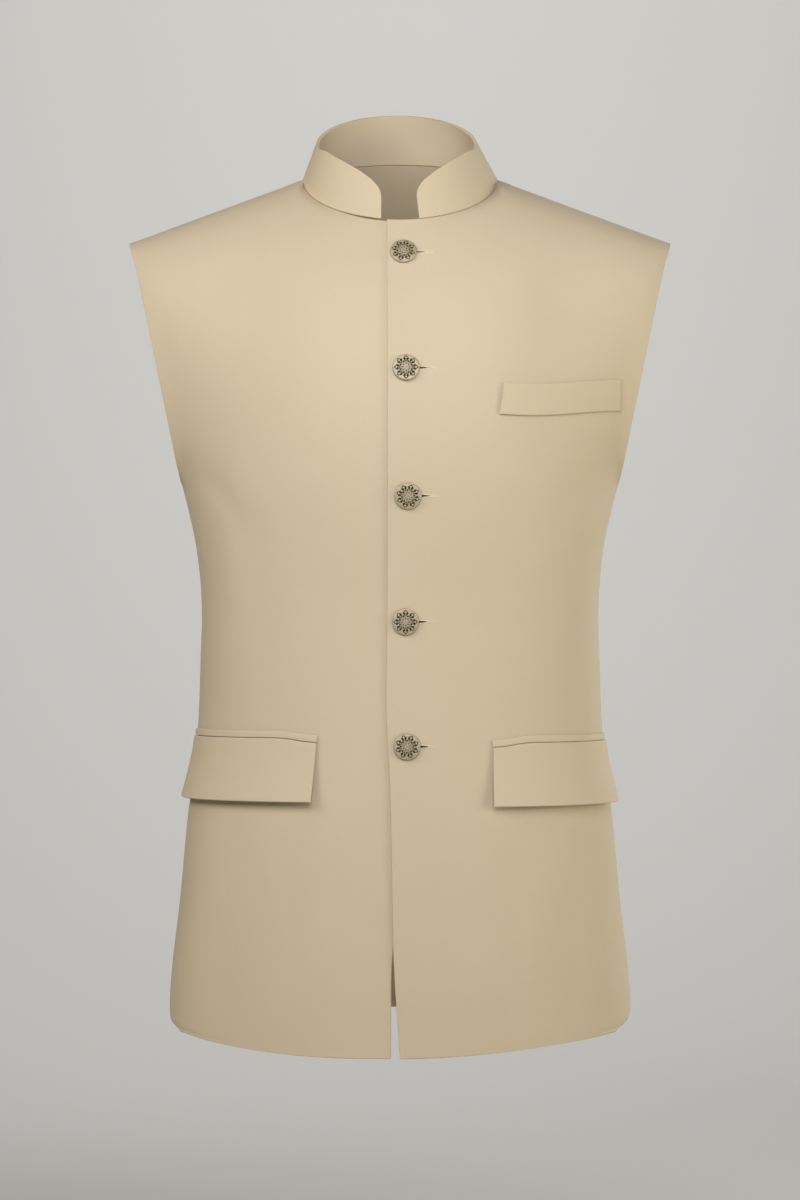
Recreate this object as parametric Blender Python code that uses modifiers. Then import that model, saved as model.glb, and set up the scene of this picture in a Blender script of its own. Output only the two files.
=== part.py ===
"""Sleeveless nehru jacket, buttoned and filled out as when worn.

Tables and sizes are in millimetres, and only the meshes are in metres. X runs to the wearer's left, Y to the
back and Z up. The origin lies between the two points where the shoulder seams meet the collar.
"""
import math

import bpy
import numpy as np

MM = 0.001

# Cloth and seams
CLOTH = 1.6
COLLAR_PLY = 2.6
FLAP_PLY = 2.0
JET_PLY = 1.0
WELT_PLY = 2.0
SEAM = 0.3
LIE = 0.5

# Outline of the body cloth by height: half width at the side seam or armhole, depth of front and back
BODY_COLUMNS = ("height", "side", "front", "back")
BODY = (
    (-700, 183.5, 124.0, 116.0),
    (-640, 182.6, 123.0, 119.0),
    (-575, 175.5, 121.0, 118.0),
    (-510, 169.3, 119.0, 112.0),
    (-447, 161.8, 117.0, 104.0),
    (-383, 159.1, 117.0, 96.0),
    (-335, 158.2, 119.0, 95.0),
    (-287, 163.5, 124.0, 101.0),
    (-240, 174.5, 129.0, 110.0),
    (-193, 183.5, 129.5, 118.0),
    (-145, 193.2, 123.0, 121.0),
    (-98, 203.2, 107.0, 118.0),
    (-66, 210.8, 91.0, 109.0),
    (-51, 215.7, 83.0, 103.0),
    (-37, 219.0, 75.0, 97.0),
    (18, 230.0, 50.0, 68.0),
)

# Ends of the panels
HEM_FRONT = -690.0
HEM_BACK = -669.0
HEM_SIDE = -671.0
UNDERARM = -245.0
SHOULDER_TIP = -51.0
ARMHOLE_FRONT = 56.0
ARMHOLE_BACK = 64.0
VENT_TOP = -560.0
VENT_OPEN = 3.0

# Hem of each panel: its front edge in the overlap, how long it stays low, and its rounded corner at the vent
HEM_COLUMNS = ("panel", "edge", "low", "corner_wide", "corner_tall")
HEMS = {
    "left": ("upper_edge", 1.7, 58.0, 34.0),
    "right": ("under_edge", 2.6, 50.0, 28.0),
    "back": (None, 1.7, 58.0, 34.0),
}

# Neckline, a ring that is lower in front than at the back
NECK_HALF_WIDTH = 77.5
NECK_FRONT = 75.0
NECK_BACK = 68.0
NECK_DROP = 37.0
NECK_RISE = 18.0

# Sections from the underarm up to the shoulder seam, by the angle round the armhole
ROW_COLUMNS = ("armhole_angle", "turn", "square_front", "square_back", "sag")
SHOULDER_HEIGHT = 1.8
SHOULDER_DEPTH = 3.0
SHOULDER_SHARP = 6.0
ROWS = (
    (0, 90, 2.40, 2.70, 1.7),
    (30, 80, 2.40, 2.75, 1.6),
    (60, 73, 2.35, 2.80, 1.5),
    (90, 68, 2.30, 2.80, 1.4),
    (120, 60, 2.20, 2.70, 1.25),
    (150, 50, 2.10, 2.40, 1.1),
    (180, 38, 2.00, 2.00, 1.0),
)

# Front edges by height, as distance past the middle
LAP_COLUMNS = ("height", "upper_edge", "under_edge")
LAP = (
    (-700, -0.6, -7.0),
    (-660, 2.2, -6.8),
    (-612, 5.0, -5.8),
    (-560, 6.2, 2.0),
    (-510, 7.0, 13.0),
    (-465, 8.5, 21.5),
    (-430, 10.4, 22.5),
    (-350, 10.0, 22.5),
    (-200, 9.7, 22.5),
    (-30, 10.2, 22.5),
)
LAP_DROP = CLOTH + 0.5
LAP_FLAT = 13.0
LAP_BLEND = 40.0

# Stand collar
RIM_HALF_WIDTH = 63.9
RIM_HALF_DEPTH = 64.5
RIM_ASIDE = -2.7
RIM_FORWARD = 7.5
RIM_HEIGHT = 28.0
RIM_TILT = 28.7
RIM_LEVEL = 12.3
COLLAR_SEAT = 0.5
COLLAR_END = 15.3
COLLAR_CURVE_WIDE = 66.0
COLLAR_CURVE_FROM = 0.37
COLLAR_CURVE_BEND = 2.0
COLLAR_CURVE_POWER = 0.70

# Flap pockets, with the jet above each flap, by the wearer's side
POCKET_COLUMNS = ("side", "inner_top", "inner_low", "outer_arc", "top", "flap_tall", "jet_tall", "slope")
POCKETS = (
    ("right", 64.4, 68.8, 147.0, -443.0, 49.0, 5.4, 0.0),
    ("left", 72.6, 73.0, 140.0, -446.5, 48.0, 5.4, 1.5),
)
FLAP_FLARE = 5.5
FLAP_CORNER = 5.5
FLAP_CORNER_FROM = 0.92

# Breast welt on the wearer's left front
WELT_INNER_TOP = 80.8
WELT_INNER_LOW = 77.4
WELT_OUTER = 172.0
WELT_TOP = -165.0
WELT_TALL = 24.0

# Buttons and buttonholes, from the neck down: distance past the middle, height, turn of the face
BUTTON_COLUMNS = ("across", "height", "turn")
BUTTONS = (
    (2.7, -63.5, 0),
    (4.7, -155.5, 24),
    (6.2, -254.7, 11),
    (4.3, -352.0, 38),
    (5.4, -448.7, 17),
)
BUTTON_RADIUS = 10.5
BUTTON_SIDES = 28
SHANK_RADIUS = 1.6
EYELET_RADIUS = 2.0
HOLE_LENGTH = 16.5
HOLE_HALF_OPEN = 1.9
HOLE_HALF_END = 0.25

# Mesh density; columns are fixed steps from the edge, steps along the neckline and along the shoulder
SKIRT_ROWS = 19
CHEST_ROWS = 14
FRONT_COLUMNS = ((0.0, 7.0, 16.0, 28.0), 8, 8)
BACK_COLUMNS = ((0.0,), 10, 8)
FORM_STEPS = 5
RELAX_PASSES = 14
COLLAR_COLUMNS = 54
NORMAL_PASSES = 3
DENSE = 241


# Materials
def cloth_material(name, colour, roughness):
    """Woven cloth, plain, with a little sheen."""
    material = bpy.data.materials.new(name)
    material.use_nodes = True
    shader = material.node_tree.nodes["Principled BSDF"]
    shader.inputs["Base Color"].default_value = (*colour, 1.0)
    shader.inputs["Roughness"].default_value = roughness
    shader.inputs["Sheen Weight"].default_value = 0.15
    material.diffuse_color = (*colour, 1.0)
    material.roughness = roughness
    return material


def metal_material(name, colour, roughness):
    """Cast metal with a dull antique finish."""
    material = bpy.data.materials.new(name)
    material.use_nodes = True
    shader = material.node_tree.nodes["Principled BSDF"]
    shader.inputs["Base Color"].default_value = (*colour, 1.0)
    shader.inputs["Metallic"].default_value = 1.0
    shader.inputs["Roughness"].default_value = roughness
    material.diffuse_color = (*colour, 1.0)
    material.metallic = 1.0
    material.roughness = roughness
    return material


# Tables and smooth steps
def column(table, names, name):
    """One named column of a table as numbers."""
    return np.array([row[names.index(name)] for row in table], float)


def smooth_table(table, names, name, at):
    """The named column as a smooth curve through the table's rows, read at the key column's values."""
    keys = column(table, names, names[0])
    values = column(table, names, name)
    slopes = np.gradient(values, keys)
    at = np.asarray(at, float)
    k = np.clip(np.searchsorted(keys, at) - 1, 0, len(keys) - 2)
    gap = keys[k + 1] - keys[k]
    t = np.clip((at - keys[k]) / gap, 0.0, 1.0)
    rise = 3 * t**2 - 2 * t**3
    bend = (t**3 - 2 * t**2 + t) * slopes[k] + (t**3 - t**2) * slopes[k + 1]
    return values[k] * (1 - rise) + values[k + 1] * rise + gap * bend


def ease(t):
    """0 to 1 with level ends."""
    t = np.clip(t, 0.0, 1.0)
    return t * t * (3 - 2 * t)


# The form of the body cloth
def neck_ring(angle):
    """Point on the neckline; 0 is the middle of the front, 90 the shoulder seam, 180 the middle of the back."""
    a = np.radians(angle)
    cos = np.cos(a)
    front = cos > 0
    return np.stack([
        NECK_HALF_WIDTH * np.sin(a),
        -np.where(front, NECK_FRONT, NECK_BACK) * cos,
        -np.where(front, NECK_DROP, NECK_RISE) * cos,
    ], axis=-1)


def section(face, station, hem_inner, low, points=DENSE):
    """One section line of the front or back half, from past the middle to the side seam or armhole.

    Station 0 is the hem, 1 the underarm, and 2 reaches from the middle of the neckline to the shoulder tip.
    The line is a part of a squared ellipse between its two ends; a little of it runs on past the middle.
    """
    front = face == "front"
    sign = -1.0 if front else 1.0
    neck = neck_ring(np.array(0.0 if front else 180.0))
    lower = min(station, 1.0)
    upper = max(station - 1.0, 0.0)
    arm = 180.0 * upper
    inner_z = hem_inner + (UNDERARM - hem_inner) * lower + (neck[2] - UNDERARM) * upper
    inner_y = sign * smooth_table(BODY, BODY_COLUMNS, face, inner_z)
    outer_z = HEM_SIDE + (UNDERARM - HEM_SIDE) * lower
    outer_z += (SHOULDER_TIP - UNDERARM) * (1 - math.cos(math.radians(arm))) / 2
    reach = ARMHOLE_FRONT if front else ARMHOLE_BACK
    outer_y = sign * reach * max(0.0, math.sin(math.radians(arm))) ** 0.9
    outer_x = smooth_table(BODY, BODY_COLUMNS, "side", outer_z)
    turn = math.radians(smooth_table(ROWS, ROW_COLUMNS, "turn", arm))
    power = 2.0 / smooth_table(ROWS, ROW_COLUMNS, "square_" + face, arm)
    sag = smooth_table(ROWS, ROW_COLUMNS, "sag", arm) if upper > 0 else low
    share = np.linspace(-0.2, 1.0, points)
    size = np.abs(share)
    across = (np.sin(turn * size) / math.sin(turn)) ** power
    round_off = (1 - np.cos(turn * size) ** power) / (1 - max(math.cos(turn), 0.0) ** power)
    x = outer_x * across * np.sign(share)
    y = inner_y + (outer_y - inner_y) * round_off
    z = inner_z + (outer_z - inner_z) * across**sag
    return np.stack([x, y, z], axis=-1)


def lengths(line):
    """Distance along a line of points."""
    steps = np.linalg.norm(np.diff(line, axis=0), axis=1)
    return np.concatenate([[0.0], np.cumsum(steps)])


def along(line, run, at):
    """Points at the given distances along a line."""
    return np.stack([np.interp(at, run, line[:, i]) for i in range(3)], axis=-1)


def pick(line, start_x, pull, columns):
    """Points along a section: fixed steps from its start, then even ones up to its end less the pull."""
    edge, neck_count, shoulder_count = columns
    run = lengths(line)
    fixed = np.interp(start_x, line[:, 0], run) + np.array(edge)
    rest = np.linspace(fixed[-1], run[-1] - pull, neck_count + shoulder_count + 1)[1:]
    return along(line, run, np.concatenate([fixed, rest]))


def top_edge(face, start_x, columns):
    """The upper end of a panel: along the neckline to the shoulder seam, then along that to the tip."""
    edge, neck_count, shoulder_count = columns
    begin = math.degrees(math.asin(start_x / NECK_HALF_WIDTH))
    angle = np.linspace(begin, 90, 181)
    line = neck_ring(angle if face == "front" else 180 - angle)
    run = lengths(line)
    fixed = np.array(edge)
    neck = along(line, run, np.concatenate([fixed, np.linspace(fixed[-1], run[-1], neck_count + 1)[1:]]))
    tip = np.array([float(smooth_table(BODY, BODY_COLUMNS, "side", SHOULDER_TIP)), 0.0, SHOULDER_TIP])
    share = np.linspace(0, 1, shoulder_count + 1)[1:, None]
    return np.concatenate([neck, neck[-1] + (tip - neck[-1]) * share])


def stations(corner_tall):
    """Stations of the panel rows, closer at the rounded hem corner and over the shoulder."""
    tall = UNDERARM - HEM_SIDE
    corner = [corner_tall * (1 - math.cos(math.radians(a))) / tall for a in (0, 32, 60, 90)]
    skirt = np.linspace(corner[-1], 1.0, SKIRT_ROWS + 1)[1:]
    chest = 2.0 - np.linspace(1.0, 0.0, CHEST_ROWS + 1)[1:] ** 1.3
    return np.concatenate([corner, skirt, chest])


def side_pull(station, corner_wide, corner_tall):
    """How far a row stops short of the side seam: half the seam gap, the vent and the rounded corner."""
    if station > 1:
        return 0.0
    height = HEM_SIDE + (UNDERARM - HEM_SIDE) * station
    vent = VENT_OPEN * float(ease((VENT_TOP - height) / (VENT_TOP - HEM_SIDE)))
    rise = (height - HEM_SIDE) / corner_tall
    corner = corner_wide * (1 - math.sqrt(1 - (1 - rise) ** 2)) if rise < 1 else 0.0
    return SEAM / 2 + vent + corner


def soften(rise, run):
    """The rise as a smooth swell that is nothing at both ends, without the corner at the end of the collar seam."""
    u = run / run[-1]
    swells = np.stack([u**2 * (1 - u) * u**k for k in range(3)], axis=-1)
    weights = np.linalg.lstsq(swells, rise, rcond=None)[0]
    return swells @ weights


def panel_grid(face, edge_name, low, columns, rows, pulls):
    """Rows of points of half the front or back on the wearer's left.

    The sections give the skirt and chest. Above the underarm they rise more and more towards the panel's
    upper end, first in height and last in depth, which rounds the cloth over the shoulder.
    """
    hem = HEM_FRONT if face == "front" else HEM_BACK

    def start(line):
        if edge_name is None:
            return 0.0
        return -float(smooth_table(LAP, LAP_COLUMNS, edge_name, np.interp(0.0, line[:, 0], line[:, 2])))

    last = section(face, 2.0, hem, low)
    upper_end = top_edge(face, start(last), columns)
    rise = upper_end - pick(last, start(last), 0.0, columns)
    soft = soften(rise, lengths(upper_end))
    grid = []
    for station, pull in zip(rows, pulls):
        line = section(face, station, hem, low)
        points = pick(line, start(line), pull, columns)
        if station > 1:
            high = station - 1
            depth = 1 - math.sqrt(1 - high**SHOULDER_DEPTH)
            sharp = high**SHOULDER_SHARP
            lift = rise * sharp + soft * (1 - sharp)
            points = points + lift * np.array([high**2, depth, high**SHOULDER_HEIGHT])
        grid.append(points)
    return np.array(grid)


def relax(grid, rows):
    """Even out the points beside the underarm, where the rows turn from the side seam into the armhole."""
    rows = np.asarray(rows)[:, None]
    share = np.linspace(0, 1, grid.shape[1])[None, :]
    weight = ease((rows - 0.74) / 0.22) * ease((1.75 - rows) / 0.5) * ease((share - 0.35) / 0.4)
    weight = 0.7 * weight[1:-1, 1:-1, None]
    for _pass in range(RELAX_PASSES):
        around = (grid[:-2, 1:-1] + grid[2:, 1:-1] + grid[1:-1, :-2] + grid[1:-1, 2:]) / 4
        grid[1:-1, 1:-1] += weight * (around - grid[1:-1, 1:-1])
    return grid


def spline(values, at):
    """A smooth curve through the first axis of an array, read at fractional positions."""
    slopes = np.gradient(values, axis=0)
    k = np.clip(at.astype(int), 0, len(values) - 2)
    t = (at - k).reshape(-1, *[1] * (values.ndim - 1))
    rise = 3 * t**2 - 2 * t**3
    bend = (t**3 - 2 * t**2 + t) * slopes[k] + (t**3 - t**2) * slopes[k + 1]
    return values[k] * (1 - rise) + values[k + 1] * rise + bend


def refine(grid, times):
    """A grid with more points on the same smooth surface."""
    rows, columns = grid.shape[:2]
    tall = spline(grid, np.linspace(0, rows - 1, (rows - 1) * times + 1))
    wide = spline(tall.swapaxes(0, 1), np.linspace(0, columns - 1, (columns - 1) * times + 1))
    return wide.swapaxes(0, 1)


# Thin walls from grids of points
def outward(grid):
    """Unit normals of a grid, evened out over their neighbours."""
    normal = np.cross(np.gradient(grid, axis=1), np.gradient(grid, axis=0))
    normal /= np.linalg.norm(normal, axis=-1, keepdims=True)
    for _pass in range(NORMAL_PASSES):
        wide = np.pad(normal, ((1, 1), (1, 1), (0, 0)), mode="edge")
        normal = (2 * normal + wide[:-2, 1:-1] + wide[2:, 1:-1] + wide[1:-1, :-2] + wide[1:-1, 2:]) / 6
    return normal / np.linalg.norm(normal, axis=-1, keepdims=True)


def add_mesh(name, points, faces, material, collection):
    """A smooth-shaded mesh object from points in millimetres."""
    mesh = bpy.data.meshes.new(name)
    mesh.from_pydata((np.asarray(points) * MM).tolist(), [], faces)
    mesh.validate()
    mesh.polygons.foreach_set("use_smooth", np.ones(len(mesh.polygons), bool))
    mesh.set_sharp_from_angle(angle=math.radians(40))
    mesh.materials.append(material)
    piece = bpy.data.objects.new(name, mesh)
    collection.objects.link(piece)
    return piece


def wall(name, outer, inner, material, collection, open_side=False, flip=False):
    """Closed wall between two grids. A half that will be mirrored stays open at its first column."""
    rows, columns = outer.shape[:2]
    index = np.arange(rows * columns).reshape(rows, columns)
    size = rows * columns
    a, b = index[:-1, :-1].ravel(), index[:-1, 1:].ravel()
    c, d = index[1:, 1:].ravel(), index[1:, :-1].ravel()
    faces = np.concatenate([np.stack([a, b, c, d], 1), np.stack([d, c, b, a], 1) + size])
    rim = [(index[0, :-1], index[0, 1:]), (index[:-1, -1], index[1:, -1]), (index[-1, 1:], index[-1, :-1])]
    if not open_side:
        rim.append((index[1:, 0], index[:-1, 0]))
    for p, q in rim:
        faces = np.concatenate([faces, np.stack([q, p, p + size, q + size], 1)])
    if flip:
        faces = faces[:, ::-1]
    points = np.concatenate([outer.reshape(-1, 3), inner.reshape(-1, 3)])
    return add_mesh(name, points, faces.tolist(), material, collection)


def mirrored(grid):
    """The same grid for the other side of the body."""
    return grid * np.array([-1.0, 1.0, 1.0])


def lap_drop(x):
    """How far the under front lies inside the upper one, by distance from the middle on its own side."""
    return LAP_DROP * (1 - ease((x - LAP_FLAT) / LAP_BLEND))


# Fronts and back
def panel(name, columns):
    """The grid of one panel and its outward normals, with half a gap at the shoulder seam."""
    edge_name, low, corner_wide, corner_tall = HEMS[name]
    face = "back" if name == "back" else "front"
    rows = stations(corner_tall)
    pulls = [side_pull(station, corner_wide, corner_tall) for station in rows]
    grid = panel_grid(face, edge_name, low, columns, rows, pulls)
    grid = relax(grid, rows)
    grid[-1, -columns[2] - 1:, 1] = -SEAM / 2 if face == "front" else SEAM / 2
    normal = outward(grid) * (1.0 if face == "front" else -1.0)
    normal[-1, -columns[2] - 1:, 1] = 0.0
    normal[:int(np.searchsorted(rows, 1.0, side="right")), -1, 1] = 0.0
    if face == "back":
        normal[:, 0, 0] = 0.0
    return grid, normal / np.linalg.norm(normal, axis=-1, keepdims=True)


def make_fronts(cloth, collection):
    """Left front on the form, right front dropped inside it where they lap."""
    upper, normal = panel("left", FRONT_COLUMNS)
    wall("left_front", upper, upper - normal * CLOTH, cloth, collection)
    under, normal = panel("right", FRONT_COLUMNS)
    drop = lap_drop(under[..., :1])
    outer = mirrored(under - normal * drop)
    inner = mirrored(under - normal * (drop + CLOTH))
    wall("right_front", outer, inner, cloth, collection, flip=True)


def make_back(cloth, collection):
    """One plain back: half of it, mirrored and joined down the middle."""
    half, normal = panel("back", BACK_COLUMNS)
    piece = wall("back", half, half - normal * CLOTH, cloth, collection, open_side=True, flip=True)
    mirror = piece.modifiers.new("other half", "MIRROR")
    mirror.use_axis = (True, False, False)
    mirror.use_mirror_merge = True
    mirror.merge_threshold = 0.00001
    return piece


# Collar
def collar_grid():
    """Outer face of the stand collar, from the wearer's right end round the back to the left end."""
    end = math.degrees(math.asin(COLLAR_END / NECK_HALF_WIDTH))
    angle = np.linspace(end, 360 - end, 721)
    a = np.radians(angle)
    base = neck_ring(angle)
    tilt = RIM_TILT - RIM_LEVEL * ease(2 * np.cos(a))
    rim = np.stack([
        RIM_ASIDE + RIM_HALF_WIDTH * np.sin(a),
        -RIM_FORWARD - RIM_HALF_DEPTH * np.cos(a),
        RIM_HEIGHT - tilt * np.cos(a),
    ], axis=-1)
    curve = np.array([0.0, 0.2, 0.4, 0.57, 0.72, 0.85, 0.95, 1.0])
    shares = [0.0, COLLAR_CURVE_FROM / 2, *(COLLAR_CURVE_FROM + (1 - COLLAR_CURVE_FROM) * curve)]
    rows = []
    for share in shares:
        line = base + (rim - base) * share
        line[:, 2] += COLLAR_SEAT
        rise = max(0.0, (share - COLLAR_CURVE_FROM) / (1 - COLLAR_CURVE_FROM))
        pull = COLLAR_CURVE_WIDE * (1 - (1 - rise**COLLAR_CURVE_BEND) ** COLLAR_CURVE_POWER)
        run = lengths(line)
        at = np.linspace(run[0] + pull, run[-1] - pull, COLLAR_COLUMNS)
        rows.append(along(line, run, at))
    return np.array(rows)


def make_collar(cloth, collection):
    """A stiff band on the neckline. Its right end sits in with the under front."""
    grid = collar_grid()
    normal = outward(grid)
    away = np.where(grid[..., 0] < 0, -grid[..., 0], NECK_HALF_WIDTH)
    front = grid[..., 1] < 0
    drop = np.where(front, lap_drop(away), 0.0)[..., None]
    side = np.array([1.0, 1.0, 0.0])
    level = normal * side
    outer = grid - level * drop
    wall("collar", outer, outer - normal * COLLAR_PLY, cloth, collection)


# Pieces that lie on a front
def dense_front():
    """A fine grid of the left front, for finding points on it."""
    grid, _normal = panel("left", FRONT_COLUMNS)
    return refine(grid, FORM_STEPS)


def level_line(form, heights):
    """Line on the form whose height follows the given heights, one for each dense column."""
    x = [np.interp(h, form[:, j, 2], form[:, j, 0]) for j, h in enumerate(heights)]
    y = [np.interp(h, form[:, j, 2], form[:, j, 1]) for j, h in enumerate(heights)]
    return np.stack([x, y, heights], axis=-1)


def patch(form, starts, ends, heights, slope, columns, by_arc=True):
    """Grid on the form: each row starts at a distance from the middle and runs for a length, or to a distance."""
    rows = []
    for start, end, height in zip(starts, ends, heights):
        width = form[:, :, 0].max()
        tilt = slope * form[len(form) // 2, :, 0] / width
        line = level_line(form, height + tilt)
        run = lengths(line)
        begin = np.interp(start, line[:, 0], run)
        finish = begin + end if by_arc else np.interp(end, line[:, 0], run)
        at = np.linspace(begin, min(finish, run[-1] - 1.0), columns)
        rows.append(np.stack([np.interp(at, run, line[:, i]) for i in range(3)], axis=-1))
    return np.array(rows)


def lay_on(name, grid, lift, ply, mirror, cloth, collection, drop=0.0):
    """A thin piece over a panel: the panel's points moved out by the lift, one value for each row."""
    normal = outward(grid)
    low = grid + normal * (np.reshape(lift, (-1, 1, 1)) - drop)
    high = low + normal * ply
    if mirror:
        return wall(name, mirrored(high), mirrored(low), cloth, collection, flip=True)
    return wall(name, high, low, cloth, collection)


def make_pockets(cloth, collection):
    """Jets, flaps and the breast welt."""
    form = dense_front()
    for side, inner_top, inner_low, outer_arc, top, flap_tall, jet_tall, slope in POCKETS:
        mirror = side == "right"
        share = np.array([1.0, (1 + FLAP_CORNER_FROM) / 2, FLAP_CORNER_FROM, 0.6, 0.3, 0.0])
        starts = inner_top + (inner_low - inner_top) * share
        ends = outer_arc - FLAP_CORNER * np.array([1.0, 0.42, 0.0, 0.0, 0.0, 0.0])
        heights = top - flap_tall * share
        grid = patch(form, starts, ends, heights, slope, 14)
        lay_on(side + "_flap", grid, LIE + FLAP_FLARE * share**1.4, FLAP_PLY, mirror, cloth, collection)
        heights = top + SEAM + jet_tall * np.array([0.0, 0.5, 1.0])
        starts = np.full(3, inner_top - 0.5)
        grid = patch(form, starts, np.full(3, outer_arc + 1.0), heights, slope, 14)
        jet_lift = LIE + np.array([0.2, 0.3, 0.0])
        lay_on(side + "_jet", grid, jet_lift, JET_PLY, mirror, cloth, collection)
    share = np.array([1.0, 0.5, 0.0])
    starts = WELT_INNER_TOP + (WELT_INNER_LOW - WELT_INNER_TOP) * share
    heights = WELT_TOP - WELT_TALL * share
    grid = patch(form, starts, np.full(3, WELT_OUTER), heights, 5.0, 11, by_arc=False)
    lay_on("breast_welt", grid, LIE + np.array([0.0, 0.2, 0.3]), WELT_PLY, False, cloth, collection)


# Buttons and buttonholes
def place_on_front(form, across, height):
    """Point on the front form with its outward, sideways and upward directions."""
    line = level_line(form, np.full(form.shape[1], height))
    above = level_line(form, np.full(form.shape[1], height + 8.0))
    point = np.array([across, np.interp(across, line[:, 0], line[:, 1]), height])
    beside = np.array([across + 8.0, np.interp(across + 8.0, line[:, 0], line[:, 1]), height])
    higher = np.array([across, np.interp(across, above[:, 0], above[:, 1]), height + 8.0])
    sideways = (beside - point) / np.linalg.norm(beside - point)
    out = np.cross(sideways, higher - point)
    out /= np.linalg.norm(out)
    return point, out, sideways, np.cross(out, sideways)


def keyhole():
    """Outline of a buttonhole: a round eyelet for the shank and a slit that closes towards its end."""
    angles = np.radians(np.linspace(72, 288, 13))
    eyelet = [(EYELET_RADIUS * math.cos(a), EYELET_RADIUS * math.sin(a)) for a in angles]
    low = [(HOLE_LENGTH * t, -HOLE_HALF_OPEN + (HOLE_HALF_OPEN - HOLE_HALF_END) * t) for t in (0.35, 0.7, 1.0)]
    high = [(x, -y) for x, y in reversed(low)]
    return np.array(eyelet + low + high)


def cut_holes(panel, form, cutters):
    """Cut the five keyholes through the left front."""
    outline = keyhole()
    count = len(outline)
    for number, (across, height, _turn) in enumerate(BUTTONS, 1):
        point, out, sideways, upward = place_on_front(form, across, height)
        flat = point + outline[:, :1] * sideways + outline[:, 1:] * upward
        points = np.concatenate([flat - out * 7.0, flat + out * 7.0])
        faces = [list(range(count))[::-1], list(range(count, 2 * count))]
        faces += [[i, (i + 1) % count, (i + 1) % count + count, i + count] for i in range(count)]
        cutter = add_mesh(f"keyhole_{number}", points, faces, panel.data.materials[0], cutters)
        cutter.hide_render = True
        cutter.display_type = "WIRE"
        cut = panel.modifiers.new(f"keyhole {number}", "BOOLEAN")
        cut.operation = "DIFFERENCE"
        cut.solver = "EXACT"
        cut.object = cutter


def make_buttons(form, metal, collection):
    """Shank buttons: a shallow dome with a bevelled rim, its shank through the eyelet to the under front."""
    top = BUTTON_RADIUS
    base = 0.6
    profile = (
        (SHANK_RADIUS, SEAM - LAP_DROP),
        (SHANK_RADIUS, base),
        (top - 0.7, base),
        (top, base + 0.6),
        (top - 0.2, base + 1.5),
        (top - 1.7, base + 2.1),
        (top * 0.45, base + 2.6),
    )
    cap_height = base + 2.8
    angles = np.linspace(0, 2 * math.pi, BUTTON_SIDES, endpoint=False)
    for number, (across, height, turn) in enumerate(BUTTONS, 1):
        point, out, sideways, upward = place_on_front(form, across, height)
        rings = []
        for radius, lift in profile:
            spin = angles + math.radians(turn)
            spoke = np.cos(spin)[:, None] * sideways + np.sin(spin)[:, None] * upward
            rings.append(point + spoke * radius + out * lift)
        points = np.concatenate(rings + [[point + out * cap_height]])
        n = BUTTON_SIDES
        faces = [list(range(n))[::-1]]
        for k in range(len(profile) - 1):
            faces += [[k * n + i, k * n + (i + 1) % n, (k + 1) * n + (i + 1) % n, (k + 1) * n + i] for i in range(n)]
        last = (len(profile) - 1) * n
        faces += [[last + i, last + (i + 1) % n, len(points) - 1] for i in range(n)]
        add_mesh(f"button_{number}", points, faces, metal, collection)


def build():
    """Empty the scene and make the jacket."""
    for old in list(bpy.data.objects):
        bpy.data.objects.remove(old, do_unlink=True)
    jacket = bpy.data.collections.new("nehru jacket")
    cutters = bpy.data.collections.new("cutters")
    bpy.context.scene.collection.children.link(jacket)
    bpy.context.scene.collection.children.link(cutters)
    body_cloth = cloth_material("beige suiting", (0.62, 0.49, 0.33), 0.75)
    collar_cloth = cloth_material("beige suiting, collar", (0.64, 0.51, 0.35), 0.75)
    trim_cloth = cloth_material("beige suiting, pockets", (0.66, 0.53, 0.36), 0.72)
    brass = metal_material("antique brass", (0.55, 0.45, 0.28), 0.38)
    make_fronts(body_cloth, jacket)
    make_back(body_cloth, jacket)
    make_collar(collar_cloth, jacket)
    make_pockets(trim_cloth, jacket)
    form = dense_front()
    cut_holes(bpy.data.objects["left_front"], form, cutters)
    make_buttons(form, brass, jacket)


build()
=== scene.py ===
# %% [markdown]
# # A sleeveless nehru jacket in beige suiting
# The jacket is cut as two fronts, one back and a stand collar, with a jet and a flap for each hip pocket, a
# breast welt and five metal shank buttons. The plain solids already give every piece its place. Here each
# cloth piece is made again as a thin shell from the same tables, with finer points, rolled edges, soft
# creases, a weave and its sewing. Tables are in millimetres, meshes in metres.

# %% Load the plain solids
import math

import bpy
import numpy as np
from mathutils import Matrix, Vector


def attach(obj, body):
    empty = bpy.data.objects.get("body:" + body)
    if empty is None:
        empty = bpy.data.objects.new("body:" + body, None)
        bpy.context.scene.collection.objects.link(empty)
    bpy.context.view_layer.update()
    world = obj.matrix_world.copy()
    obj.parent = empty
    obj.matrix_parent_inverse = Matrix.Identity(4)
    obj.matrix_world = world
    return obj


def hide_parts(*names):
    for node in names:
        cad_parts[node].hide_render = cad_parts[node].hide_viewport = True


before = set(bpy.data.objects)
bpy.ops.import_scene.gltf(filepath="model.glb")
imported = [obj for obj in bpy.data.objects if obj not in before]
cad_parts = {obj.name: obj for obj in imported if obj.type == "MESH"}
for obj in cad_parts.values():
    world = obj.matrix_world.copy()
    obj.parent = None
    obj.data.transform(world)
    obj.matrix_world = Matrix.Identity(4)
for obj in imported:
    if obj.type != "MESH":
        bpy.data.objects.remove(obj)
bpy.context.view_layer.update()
MM = 0.001

# %% [markdown]
# ## The view
# The jacket is seen straight from the front, at the height of its middle, from far enough away that it
# hardly narrows towards its back. A long lens at four metres gives that view. The sensor's long side is
# the picture's height.

# %% Camera
DISTANCE = 4.0
PICTURE_TALL = 0.957
EYE_HEIGHT = -0.335
SENSOR = 24.0


def add_object(name, data):
    """A new object of the scene, at the origin, unturned and unscaled."""
    thing = bpy.data.objects.new(name, data)
    bpy.context.scene.collection.objects.link(thing)
    return thing


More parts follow.
